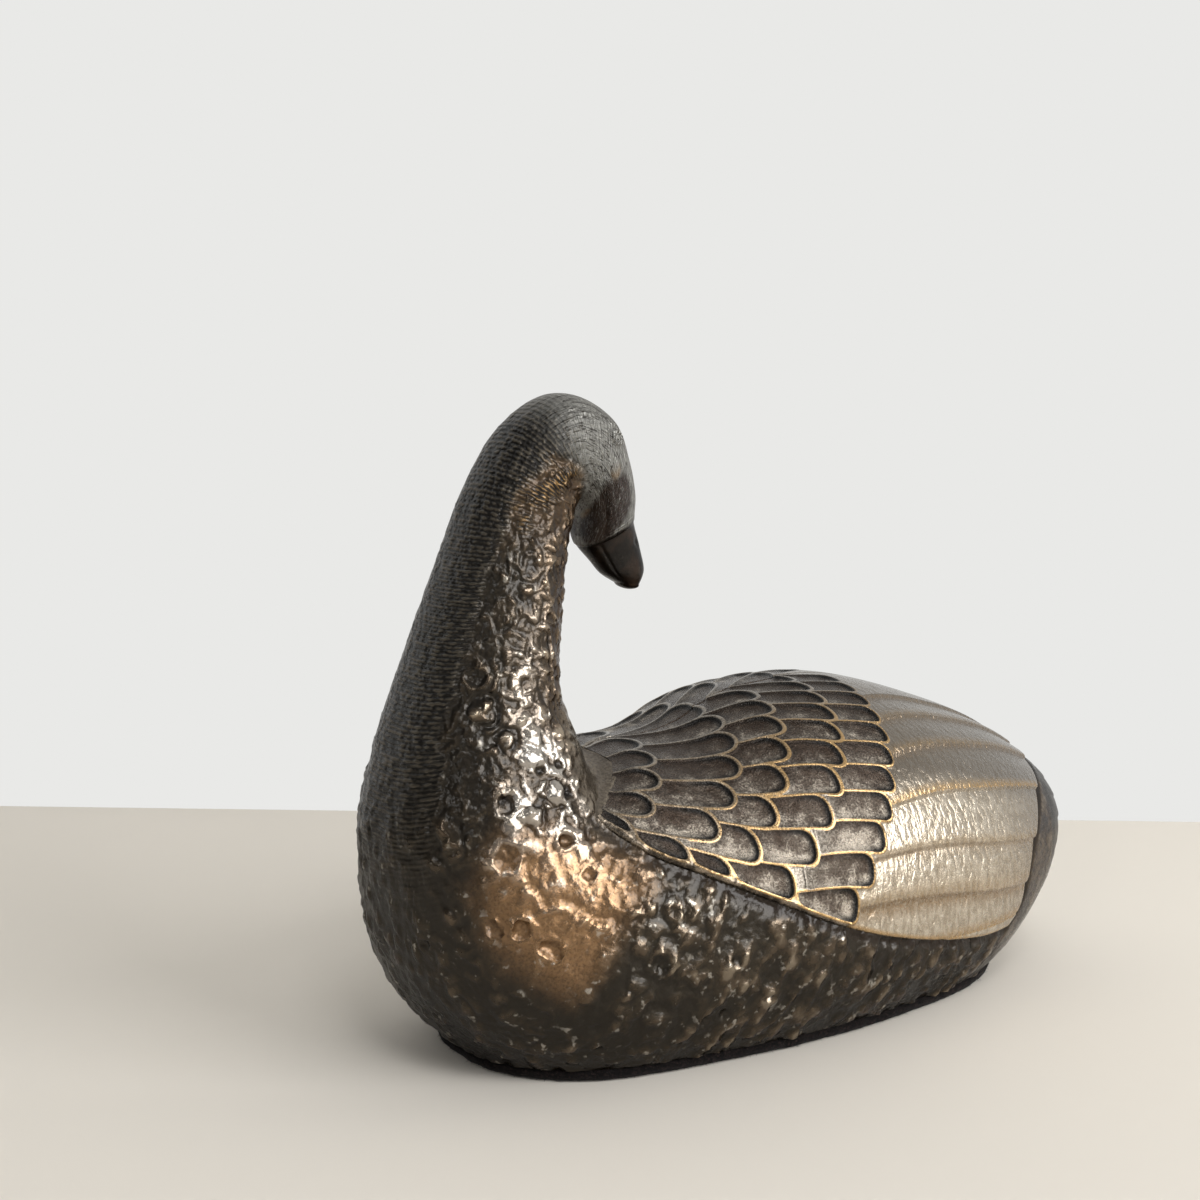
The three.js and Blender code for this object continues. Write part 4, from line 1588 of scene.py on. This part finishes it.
@dataclass(frozen=True)
class CastBronze(Finish):
    """Cast bronze: a metal, toned brown, under a thin coat of wax.

    Where hands rub it, it is satin and even, a mottle of two middle browns.
    """

    plain_dark: str = "#554c41"
    plain_light: str = "#877c6d"
    metallic: float = 0.85


@dataclass(frozen=True)
class PatinatedBronze(CastBronze):
    """Cast bronze, chemically patinated dark brown, then waxed.

    The patina stays in the hollows and is rubbed through to pale brown metal on
    the high places. The wax gives sharp white glints over the dark metal. Light is
    also painted into the colour: a highlight on the breast and down the neck, pale
    specks as glints, shade and dark reflection on the front, the belly and the far
    side of the neck, and shade in the groove under the wings.
    """

    name: str = "patinated_cast_bronze"
    hollow: str = "#1b1611"
    brown: str = "#3a3024"
    worn: str = "#665645"
    peak: str = "#9b8c78"
    # Dark olive over the dark share: painted dark reflection on the front and the belly
    olive: str = "#2c261b"
    tan: str = "#8b6a48"
    # Pale metal and painted highlight
    pale_metal_and_highlight: str = "#a6a098"
    nape: str = "#16130f"
    stroke: str = "#4c463c"
    gold: str = "#8a6a3c"
    plumage: str = "#85847f"
    line: str = "#35322e"
    chin: str = "#2b1f18"
    horn: str = "#2b1f17"
    horn_dark: str = "#110d0a"
    graze: str = "#9b9388"
    # Painted glints, in pale specks
    painted_glint: str = "#b9b3a8"
    shade: str = "#241a12"

    def dress(self, tree: Tree, shader: Node) -> None:
        """Fills in the shader."""
        where = add_node(tree, "TexCoord").outputs["Object"]
        dark, warm, pale_metal_and_highlight = self.parts(tree, "tone")
        rough, horn, relief = self.parts(tree, "make")
        plumage, combed, chin = self.parts(tree, "plume")
        hatched = self.parts(tree, "lay")["Z"]
        lay = add_node(tree, "Attribute", {"attribute_name": "lay"}).outputs["Vector"]
        even, groove = (
            add_node(tree, "Attribute", {"attribute_name": name}).outputs["Fac"]
            for name in ("plain", "groove")
        )
        # Stains 8 mm across, crumpled skin at 1.6 mm and metal grain at 0.7 mm
        stains = add_node(tree, "TexNoise", inputs={"Vector": where, "Scale": 120.0, "Detail": 3.0})
        crumple = add_node(
            tree, "TexVoronoi", {"feature": "SMOOTH_F1"},
            {"Vector": where, "Scale": 620.0, "Smoothness": 0.6})
        grain = add_node(
            tree, "TexNoise", inputs={"Vector": where, "Scale": 1400.0, "Detail": 3.0, "Roughness": 0.65})
        # Height of the rubbed metal from relief, stains and grain, lowered by the dark share as painted
        # shade and raised by the pale share as a painted highlight
        lifted = add_node(tree, "Math", TIMES, (stains, 0.75))
        for part, share in ((relief, 1.0), (grain, 0.45), (crumple, -0.35), (dark, -0.55), (pale_metal_and_highlight, 0.3)):
            lifted = add_node(tree, "Math", TIMES_PLUS, (part, share, lifted))
        low, high, top, gloss = (
            add_node(tree, "MapRange", SMOOTH, (lifted, *limits))
            for limits in ((-0.05, 0.45), (0.4, 0.8), (0.7, 1.05), (0.0, 0.9, 0.42, 0.12))
        )
        speckled = add_node(tree, "MapRange", SMOOTH, (grain, 0.3, 0.6, 0.4, 0.8))
        mottled = add_node(tree, "MapRange", SMOOTH, (grain, 0.35, 0.65))
        clouded = add_node(tree, "MapRange", SMOOTH, (stains, 0.42, 0.6))
        # Painted highlight over the pale share, and dark olive over the dark share as painted dark
        # reflection
        painted_shine, sunk, tanned, shown, matt = (
            add_node(tree, "Math", TIMES, (share, factor))
            for share, factor in (
                (pale_metal_and_highlight, high), (dark, 0.52), (warm, speckled), (plumage, 0.95), (plumage, 0.16))
        )
        # Painted glints: pale specks of 2 mm where worked skin stands high
        painted_glints = add_node(tree, "TexNoise", inputs={"Vector": where, "Scale": 430.0, "Detail": 3.0})
        painted_glints = add_node(tree, "MapRange", SMOOTH, (painted_glints, 0.6, 0.7, 0.0, 0.55))
        for height in ((relief, -0.1, 0.4), (rough, 0.12, 0.35)):
            stands = add_node(tree, "MapRange", SMOOTH, height)
            painted_glints = add_node(tree, "Math", TIMES, (painted_glints, stands))
        strokes, napped = self.hatched_nape(tree, lay, combed)
        plumes, feathered = self.head_feathers(tree, lay, combed, chin)
        bill = add_node(tree, "Mix", COLOURS, {0: clouded, 6: self.horn, 7: self.horn_dark})
        rubbed = add_node(tree, "Mix", COLOURS, {0: mottled, 6: self.plain_dark, 7: self.plain_light})
        # Each layer covers the ones before it, as far as its share says; the last paints shade into the
        # groove under the wings
        colour = self.hollow
        for share, layer in (
            (low, self.brown), (high, self.worn), (top, self.peak), (painted_shine, self.pale_metal_and_highlight),
            (sunk, self.olive), (tanned, self.tan), (painted_glints, self.painted_glint), (even, rubbed),
            (hatched, napped), (shown, feathered), (horn, bill), (groove, self.shade),
        ):
            colour = add_node(tree, "Mix", COLOURS, {0: share, 6: colour, 7: layer})
        gloss = add_node(tree, "Math", PLUS, (gloss, matt))
        gloss = add_node(tree, "Math", TIMES_PLUS, (groove, 0.3, gloss))
        # Bumps from coarse to fine: strokes and head feathers, crumples, grain
        stroke_height = add_node(tree, "Math", TIMES, (strokes, hatched))
        plume_share = add_node(tree, "Math", TIMES, (plumage, 0.3))
        plume_height = add_node(tree, "Math", TIMES, (plumes, plume_share))
        height = add_node(tree, "Math", PLUS, (stroke_height, plume_height))
        bump = add_node(tree, "Bump", inputs={"Strength": 1.0, "Distance": 0.0008, "Height": height})
        height = add_node(tree, "Math", TIMES, (crumple, rough))
        bump = add_node(
            tree, "Bump", {"invert": True},
            {"Strength": 0.7, "Distance": 0.0005, "Height": height, "Normal": bump})
        bump = add_node(
            tree, "Bump", inputs={"Strength": 0.6, "Distance": 0.00015, "Height": grain, "Normal": bump})
        feed(tree, shader, {
            "Base Color": colour, "Roughness": gloss, "Normal": bump, "Metallic": self.metallic,
            "Specular Tint": self.graze, "Coat Normal": bump, "Coat Weight": 0.45, "Coat Roughness": 0.09,
        })

    def hatched_nape(self, tree: Tree, lay: Socket, combed: Socket) -> tuple[Node, Node]:
        """Strokes that lie across the nape, broken into dashes.

        Args:
            tree: the material's node tree.
            lay: millimetres along and round the neck.
            combed: share of gilding.

        Returns:
            The nodes that give the strokes' height and colour.
        """
        # Dashes about 3 mm long, over bands 0.86 mm apart
        laid = add_node(tree, "VectorMath", TIMES, (lay, (0.7, 0.33, 0.0)))
        strokes = add_node(tree, "TexNoise", inputs={"Vector": laid, "Scale": 1.0, "Detail": 1.0})
        bands = add_node(
            tree, "TexWave", {"bands_direction": "X"},
            {"Vector": lay, "Scale": 0.365, "Distortion": 1.6, "Detail": 1.0, "Detail Scale": 1.2})
        strokes = add_node(tree, "Math", TIMES_PLUS, (bands, 0.25, strokes))
        struck = add_node(tree, "MapRange", SMOOTH, (strokes, 0.6, 0.8))
        raised = add_node(tree, "Mix", COLOURS, {0: combed, 6: self.stroke, 7: self.gold})
        return strokes, add_node(tree, "Mix", COLOURS, {0: struck, 6: self.nape, 7: raised})

    def head_feathers(self, tree: Tree, lay: Socket, combed: Socket, chin: Socket) -> tuple[Node, Node]:
        """Short feather lines, 1 mm apart, that sweep back over the head.

        Args:
            tree: the material's node tree.
            lay: millimetres along and round the head.
            combed: share of gilding.
            chin: share of the dark chin patch.

        Returns:
            The nodes that give the lines' height and colour.
        """
        turned = add_node(tree, "Mapping", inputs={"Vector": lay, "Rotation": (0.0, 0.0, 0.4)})
        swept = add_node(tree, "VectorMath", TIMES, (turned, (0.34, 1.1, 0.0)))
        plumes = add_node(
            tree, "TexNoise", inputs={"Vector": swept, "Scale": 1.0, "Detail": 2.0, "Distortion": 1.6})
        lined = add_node(tree, "MapRange", SMOOTH, (plumes, 0.36, 0.52))
        spared = add_node(tree, "MapRange", SMOOTH, (plumes, 0.56, 0.66, 1.0, 0.45))
        patched = add_node(tree, "Math", TIMES, (chin, spared))
        colour = self.line
        for share, layer in ((lined, self.plumage), (patched, self.chin), (combed, self.gold)):
            colour = add_node(tree, "Mix", COLOURS, {0: share, 6: colour, 7: layer})
        return plumes, colour


@dataclass(frozen=True)
class RubbedBronze(CastBronze):
    """Cast bronze feathers with dark patina and painted shade in the pockets, and gilt rims.

    The floors are mottled grey brown, paler on the lower side of each pocket as a
    painted reflection and darkest at the deep tips as painted shade; the rims are
    rubbed to gold, and the long feathers are satin light bronze with fine ripples
    across them, painted shade on the upper ones, a painted shadow under each lapped
    edge and a tan band above it that is partly a painted reflection.
    """

    name: str = "rubbed_cast_bronze"
    # Painted shade at the deep tips of the pockets
    pit: str = "#0d0a07"
    floor_brown: str = "#36281c"
    floor_grey: str = "#544a40"
    # The floors turn pale on the lower side of each pocket, a painted reflection
    floor_silver: str = "#a79d8f"
    rim: str = "#b09062"
    web: str = "#8d857a"
    web_dark: str = "#5d554b"
    skin_low: str = "#2a2219"
    skin_high: str = "#8a7c6b"
    satin: str = "#bbb09f"
    satin_grey: str = "#a09482"
    # Painted shade on the upper long feathers
    satin_top_shade: str = "#655c51"
    satin_rear: str = "#756756"
    # Painted shadow under each lapped edge of the long feathers
    lap: str = "#7d6240"
    # Tan band above each lapped edge, partly a rubbed edge and partly a painted reflection
    edge_tan_and_reflection: str = "#a5834f"

    def dress(self, tree: Tree, shader: Node) -> None:
        """Fills in the shader."""
        where = add_node(tree, "TexCoord").outputs["Object"]
        inside, share_back, lot = self.parts(tree, "pocket")
        below, above, gilt = self.parts(tree, "quill")
        along, round_body, primary = self.parts(tree, "lay")
        gnarl, margin, even = self.parts(tree, "skin")
        lay = add_node(tree, "Attribute", {"attribute_name": "lay"}).outputs["Vector"]
        across, edge = (
            add_node(tree, "Attribute", {"attribute_name": name}).outputs["Fac"]
            for name in ("across", "edge")
        )
        # Beaten floors with marks of 0.6 mm and stains of 4 mm, paler on the lower side of each pocket as a
        # painted reflection
        marks = add_node(
            tree, "TexNoise", inputs={"Vector": where, "Scale": 1600.0, "Detail": 3.0, "Roughness": 0.7})
        light = add_node(tree, "TexNoise", inputs={"Vector": where, "Scale": 250.0, "Detail": 2.0})
        for part, share in ((across, 0.24), (lot, 0.2), (marks, 0.9)):
            light = add_node(tree, "Math", TIMES_PLUS, (part, share, light))
        low_row = add_node(tree, "MapRange", SMOOTH, (round_body, 20.0, 75.0, -0.16, 0.1))
        light = add_node(tree, "Math", PLUS, (light, low_row))
        grey = add_node(tree, "MapRange", SMOOTH, (light, 0.75, 1.15))
        pale = add_node(tree, "MapRange", SMOOTH, (light, 1.05, 1.4))
        at_wall, near_rim, dropped, in_floor = (
            add_node(tree, "MapRange", SMOOTH, (inside, *limits))
            for limits in ((0.4, 2.2, 1.0, 0.0), (-0.75, -0.35), (-0.04, 0.16), (-0.1, 0.3, 0.2, 1.0))
        )
        at_tip = add_node(tree, "MapRange", SMOOTH, (share_back, 0.1, 0.45, 1.0, 0.3))
        at_root = add_node(tree, "MapRange", SMOOTH, (share_back, 0.72, 1.0))
        beaten, mottled, gloss = (
            add_node(tree, "MapRange", SMOOTH, (marks, *limits))
            for limits in ((0.4, 0.6), (0.35, 0.6, 0.35, 0.9), (0.3, 0.75, 0.18, 0.36))
        )
        # Painted shade along the pocket walls near the tips
        shade = add_node(tree, "Math", TIMES, (at_wall, at_tip))
        web = add_node(tree, "Mix", COLOURS, {0: beaten, 6: self.web_dark, 7: self.web})
        floor = self.floor_brown
        for share, layer in (
            (grey, self.floor_grey), (pale, self.floor_silver), (shade, self.pit), (at_root, web),
        ):
            floor = add_node(tree, "Mix", COLOURS, {0: share, 6: floor, 7: layer})
        # Ripples 1.6 mm apart lie across the long feathers; the upper feathers take painted shade, each
        # lapped edge a painted shadow below it and a tan band above it, partly a painted reflection
        laid = add_node(tree, "VectorMath", TIMES, (lay, (0.6, 0.32, 0.0)))
        ripples = add_node(
            tree, "TexNoise", inputs={"Vector": laid, "Scale": 1.0, "Detail": 2.0, "Distortion": 0.6})
        ripple_light = add_node(tree, "MapRange", SMOOTH, (ripples, 0.38, 0.62))
        to_rear = add_node(tree, "MapRange", SMOOTH, (along, 46.0, 88.0, 0.0, 0.85))
        shaded_top = add_node(tree, "MapRange", SMOOTH, (round_body, 48.0, 60.0, 0.9, 0.0))
        brown, tanned = (add_node(tree, "Math", TIMES, (side, mottled)) for side in (below, above))
        satin = self.satin_grey
        for share, layer in (
            (ripple_light, self.satin), (to_rear, self.satin_rear), (shaded_top, self.satin_top_shade),
            (brown, self.lap), (tanned, self.edge_tan_and_reflection),
        ):
            satin = add_node(tree, "Mix", COLOURS, {0: share, 6: satin, 7: layer})
        # The wing's front and lower margin carry the gnarled skin of the body
        raised = add_node(tree, "Math", TIMES_PLUS, (gnarl, 0.8, marks))
        skin = add_node(tree, "MapRange", SMOOTH, (raised, 0.3, 1.0))
        skin = add_node(tree, "Mix", COLOURS, {0: skin, 6: self.skin_low, 7: self.skin_high})
        rubbed = add_node(tree, "Mix", COLOURS, {0: beaten, 6: self.plain_dark, 7: self.plain_light})
        skin = add_node(tree, "Mix", COLOURS, {0: even, 6: skin, 7: rubbed})
        gilding = add_node(tree, "Math", TIMES, (near_rim, gilt))
        brink = add_node(tree, "MapRange", SMOOTH, (edge, 0.7, 2.2, 0.9, 0.0))
        colour = web
        for share, layer in (
            (primary, satin), (margin, skin), (gilding, self.rim), (brink, self.rim), (dropped, floor),
        ):
            colour = add_node(tree, "Mix", COLOURS, {0: share, 6: colour, 7: layer})
        height = add_node(tree, "Math", TIMES, (ripples, primary))
        bump = add_node(tree, "Bump", inputs={"Strength": 0.55, "Distance": 0.0009, "Height": height})
        height = add_node(tree, "Math", TIMES, (marks, in_floor))
        bump = add_node(
            tree, "Bump", inputs={"Strength": 1.0, "Distance": 0.0004, "Height": height, "Normal": bump})
        feed(tree, shader, {
            "Base Color": colour, "Roughness": gloss, "Normal": bump, "Metallic": self.metallic,
            "Coat Normal": bump, "Coat Weight": 0.3, "Coat Roughness": 0.12,
        })


@dataclass(frozen=True)
class WoolFelt(Finish):
    """Pressed wool felt, dyed dark brown: no gloss, with a soft pale fuzz."""

    name: str = "pressed_wool_felt"
    deep: str = "#060404"
    light: str = "#2b211f"

    def dress(self, tree: Tree, shader: Node) -> None:
        """Fills in the shader."""
        where = add_node(tree, "TexCoord").outputs["Object"]
        # Matted fibres show as marks of about 0.6 mm
        fibres = add_node(
            tree, "TexNoise", inputs={"Vector": where, "Scale": 1600.0, "Detail": 3.0, "Distortion": 1.5})
        light = add_node(tree, "MapRange", SMOOTH, (fibres, 0.48, 0.72))
        colour = add_node(tree, "Mix", COLOURS, {0: light, 6: self.deep, 7: self.light})
        bump = add_node(tree, "Bump", inputs={"Strength": 1.0, "Distance": 0.0003, "Height": fibres})
        feed(tree, shader, {
            "Base Color": colour, "Normal": bump, "Roughness": 0.95, "Specular IOR Level": 0.15,
            "Sheen Weight": 0.04, "Sheen Roughness": 0.5,
        })


@dataclass(frozen=True)
class Steel(Finish):
    """Sheet or screw steel with the marks of how it was made."""

    name: str = "mill_finish_steel_sheet"
    shade: str = "#8b8c8c"
    bright: str = "#a8a9a8"
    grain: Place = (40.0, 900.0, 900.0)
    roughness: Point = (0.3, 0.5)

    def dress(self, tree: Tree, shader: Node) -> None:
        """Fills in the shader."""
        where = add_node(tree, "TexCoord").outputs["Object"]
        drawn = add_node(tree, "VectorMath", TIMES, (where, self.grain))
        lines = add_node(tree, "TexNoise", inputs={"Vector": drawn, "Scale": 1.0, "Detail": 3.0})
        light = add_node(tree, "MapRange", SMOOTH, (lines, 0.35, 0.7))
        colour = add_node(tree, "Mix", COLOURS, {0: light, 6: self.shade, 7: self.bright})
        gloss = add_node(tree, "MapRange", SMOOTH, (lines, 0.3, 0.7, *self.roughness))
        bump = add_node(tree, "Bump", inputs={"Strength": 0.3, "Distance": 0.00005, "Height": lines})
        feed(tree, shader, {"Base Color": colour, "Roughness": gloss, "Normal": bump, "Metallic": 1.0})


@dataclass(frozen=True)
class FloorPaint(Finish):
    """Matt pale paint of the studio's floor."""

    name: str = "matt_floor_paint"
    colour: str = "#dcd6cc"

    def dress(self, tree: Tree, shader: Node) -> None:
        """Fills in the shader."""
        feed(tree, shader, {"Base Color": self.colour, "Roughness": 0.85})


@dataclass(frozen=True)
class WallPaint(Finish):
    """Matt white paint of the wall behind, plain white in view and in metal."""

    name: str = "matt_wall_paint"
    colour: str = "#e9e9e7"

    def dress(self, tree: Tree, shader: Node) -> None:
        """Fills in the shader."""
        feed(tree, shader, {"Base Color": self.colour, "Roughness": 0.9})
        rays = add_node(tree, "LightPath").outputs
        seen = add_node(tree, "Math", PLUS, (rays["Is Camera Ray"], rays["Is Glossy Ray"]))
        seen = add_node(tree, "Math", PLUS | {"use_clamp": True}, (seen, rays["Is Transmission Ray"]))
        glow = add_node(tree, "Emission", inputs={"Color": self.colour, "Strength": 1.0})
        front = add_node(tree, "MixShader", inputs=(seen, shader, glow))
        hidden = add_node(tree, "BsdfTransparent")
        behind = add_node(tree, "NewGeometry").outputs["Backfacing"]
        whole = add_node(tree, "MixShader", inputs=(behind, front, hidden))
        output = next(node for node in tree.nodes if node.type == "OUTPUT_MATERIAL")
        feed(tree, output, {"Surface": whole})


def dress_piece(piece: Piece, finish: Finish) -> None:
    """Gives a piece one finish all over."""
    piece.data.materials.clear()
    piece.data.materials.append(finish.material())


# Studio


@dataclass(frozen=True)
class SoftLight:
    """A square lamp with a soft edge, aimed at the figure."""

    name: str
    place: Place
    size: Point
    watts: float
    colour: str = "#ffffff"


@dataclass(frozen=True)
class Studio:
    """Camera, floor, wall and lamps. Places are in metres."""

    camera_place: Place = (-0.2999, -0.3837, 0.1721)
    camera_turn: Place = (82.74, 0.0, -33.63)
    lens: float = 54.0
    sensor: float = 36.0
    clip_start: float = 0.01
    floor_size: float = 8.0
    wall_foot: tuple[Point, Point] = ((-0.1106, 0.3326), (0.2663, 0.0511))
    wall_size: Point = (5.0, 3.0)
    world_dim: float = 0.14
    world_bright: float = 0.5
    bright_side: Place = (0.62, -0.55, 0.56)
    aim: Place = (-0.01, 0.0, 0.07)
    lights: tuple[SoftLight, ...] = (
        SoftLight("window_right", (1.05, -2.1, 0.93), (1.7, 1.5), 60.0),
        SoftLight("window_high", (-0.3, -0.75, 1.15), (0.35, 0.35), 3.0),
        SoftLight("lamp_left", (-1.15, -0.75, 0.55), (0.22, 0.22), 1.2),
    )

    def build(self) -> None:
        """Sets up the whole studio."""
        self.camera()
        self.surroundings()
        self.room_light()
        for light in self.lights:
            self.lamp(light)
        bpy.context.scene.view_settings.view_transform = "Standard"

    def camera(self) -> None:
        """Puts the camera where the photograph was taken from."""
        turn = [math.radians(angle) for angle in self.camera_turn]
        bpy.ops.object.camera_add(location=self.camera_place, rotation=turn)
        camera = bpy.context.object
        camera.data.lens = self.lens
        camera.data.sensor_width = self.sensor
        camera.data.clip_start = self.clip_start
        bpy.context.scene.camera = camera

    def surroundings(self) -> None:
        """Adds the floor, and the wall whose foot shows behind the figure."""
        bpy.ops.mesh.primitive_plane_add(size=self.floor_size, location=(0.0, 0.0, 0.0))
        floor = bpy.context.object
        floor.name = "studio_floor"
        dress_piece(floor, FloorPaint())
        start, end = np.array(self.wall_foot)
        middle, run = (start + end) / 2, end - start
        turn = math.atan2(run[1], run[0])
        bpy.ops.mesh.primitive_plane_add(
            size=1.0, location=(*middle, self.wall_size[1] / 2), rotation=(math.radians(90), 0, turn))
        wall = bpy.context.object
        wall.scale = (*self.wall_size, 1.0)
        wall.name = "studio_wall"
        dress_piece(wall, WallPaint())
        wall.visible_shadow = False

    def room_light(self) -> None:
        """Lights the room evenly, with more from the side of the window."""
        world = bpy.data.worlds.new("studio_world")
        bpy.context.scene.world = world
        world.use_nodes = True
        tree = world.node_tree
        where = add_node(tree, "TexCoord").outputs["Generated"]
        facing = add_node(tree, "VectorMath", {"operation": "DOT_PRODUCT"}, (where, self.bright_side))
        limits = (-0.7, 0.9, self.world_dim, self.world_bright)
        level = add_node(tree, "MapRange", SMOOTH, (facing.outputs["Value"], *limits))
        feed(tree, tree.nodes["Background"], {"Color": "#ffffff", "Strength": level})

    def lamp(self, light: SoftLight) -> None:
        """Adds one lamp, turned towards the figure."""
        away = np.array(self.aim) - np.array(light.place)
        flat = math.hypot(away[0], away[1])
        turn = (math.atan2(flat, -away[2]), 0.0, math.atan2(away[1], away[0]) - math.pi / 2)
        bpy.ops.object.light_add(type="AREA", location=light.place, rotation=turn)
        lamp = bpy.context.object
        lamp.name = lamp.data.name = light.name
        lamp.data.shape = "RECTANGLE"
        lamp.data.size, lamp.data.size_y = light.size
        lamp.data.energy = light.watts
        lamp.data.color = linear(light.colour)[:3]


def finish_piece(piece: Piece, finish: Finish, node: str) -> None:
    """Dresses a new piece and ties it to the frame.

    Args:
        piece: the new piece.
        finish: its finish.
        node: the CAD node that it stands for.
    """
    dress_piece(piece, finish)
    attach(piece, "root")
    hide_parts(node)
    LOG.info("%s: %d faces", piece.name, len(piece.data.polygons))


def main() -> None:
    """Builds the dressed figure piece by piece."""
    logging.basicConfig(level=logging.INFO, format="%(message)s")
    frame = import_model()
    select()
    Studio().build()
    form = BirdForm()
    zones = BodySkinZones(form, HammeredSkin())
    outline = WingOutline(form)
    bronze, rubbed = PatinatedBronze(), RubbedBronze()
    finish_piece(BodyCasting(form, zones, outline).build(), bronze, "body_casting")
    finish_piece(NeckCasting(form, zones).build(), bronze, "neck_and_head_casting")
    wing = WingCasting(form, zones, outline)
    for side in Side:
        finish_piece(wing.build(side), rubbed, f"{side.name.lower()}_wing_casting")
    finish_piece(FeltPad(form).build(), WoolFelt(), "felt_pad")
    zinc = Steel("zinc_plated_screw_steel", "#9b9d9e", "#bfc1c1", (700.0, 700.0, 700.0), (0.22, 0.36))
    for name, node in frame["nodes"].items():
        if name == "base_plate":
            dress_piece(node, Steel())
        elif name.startswith("base_screw"):
            dress_piece(node, zinc)
    LOG.info("size written")


if __name__ == "__main__":
    main()
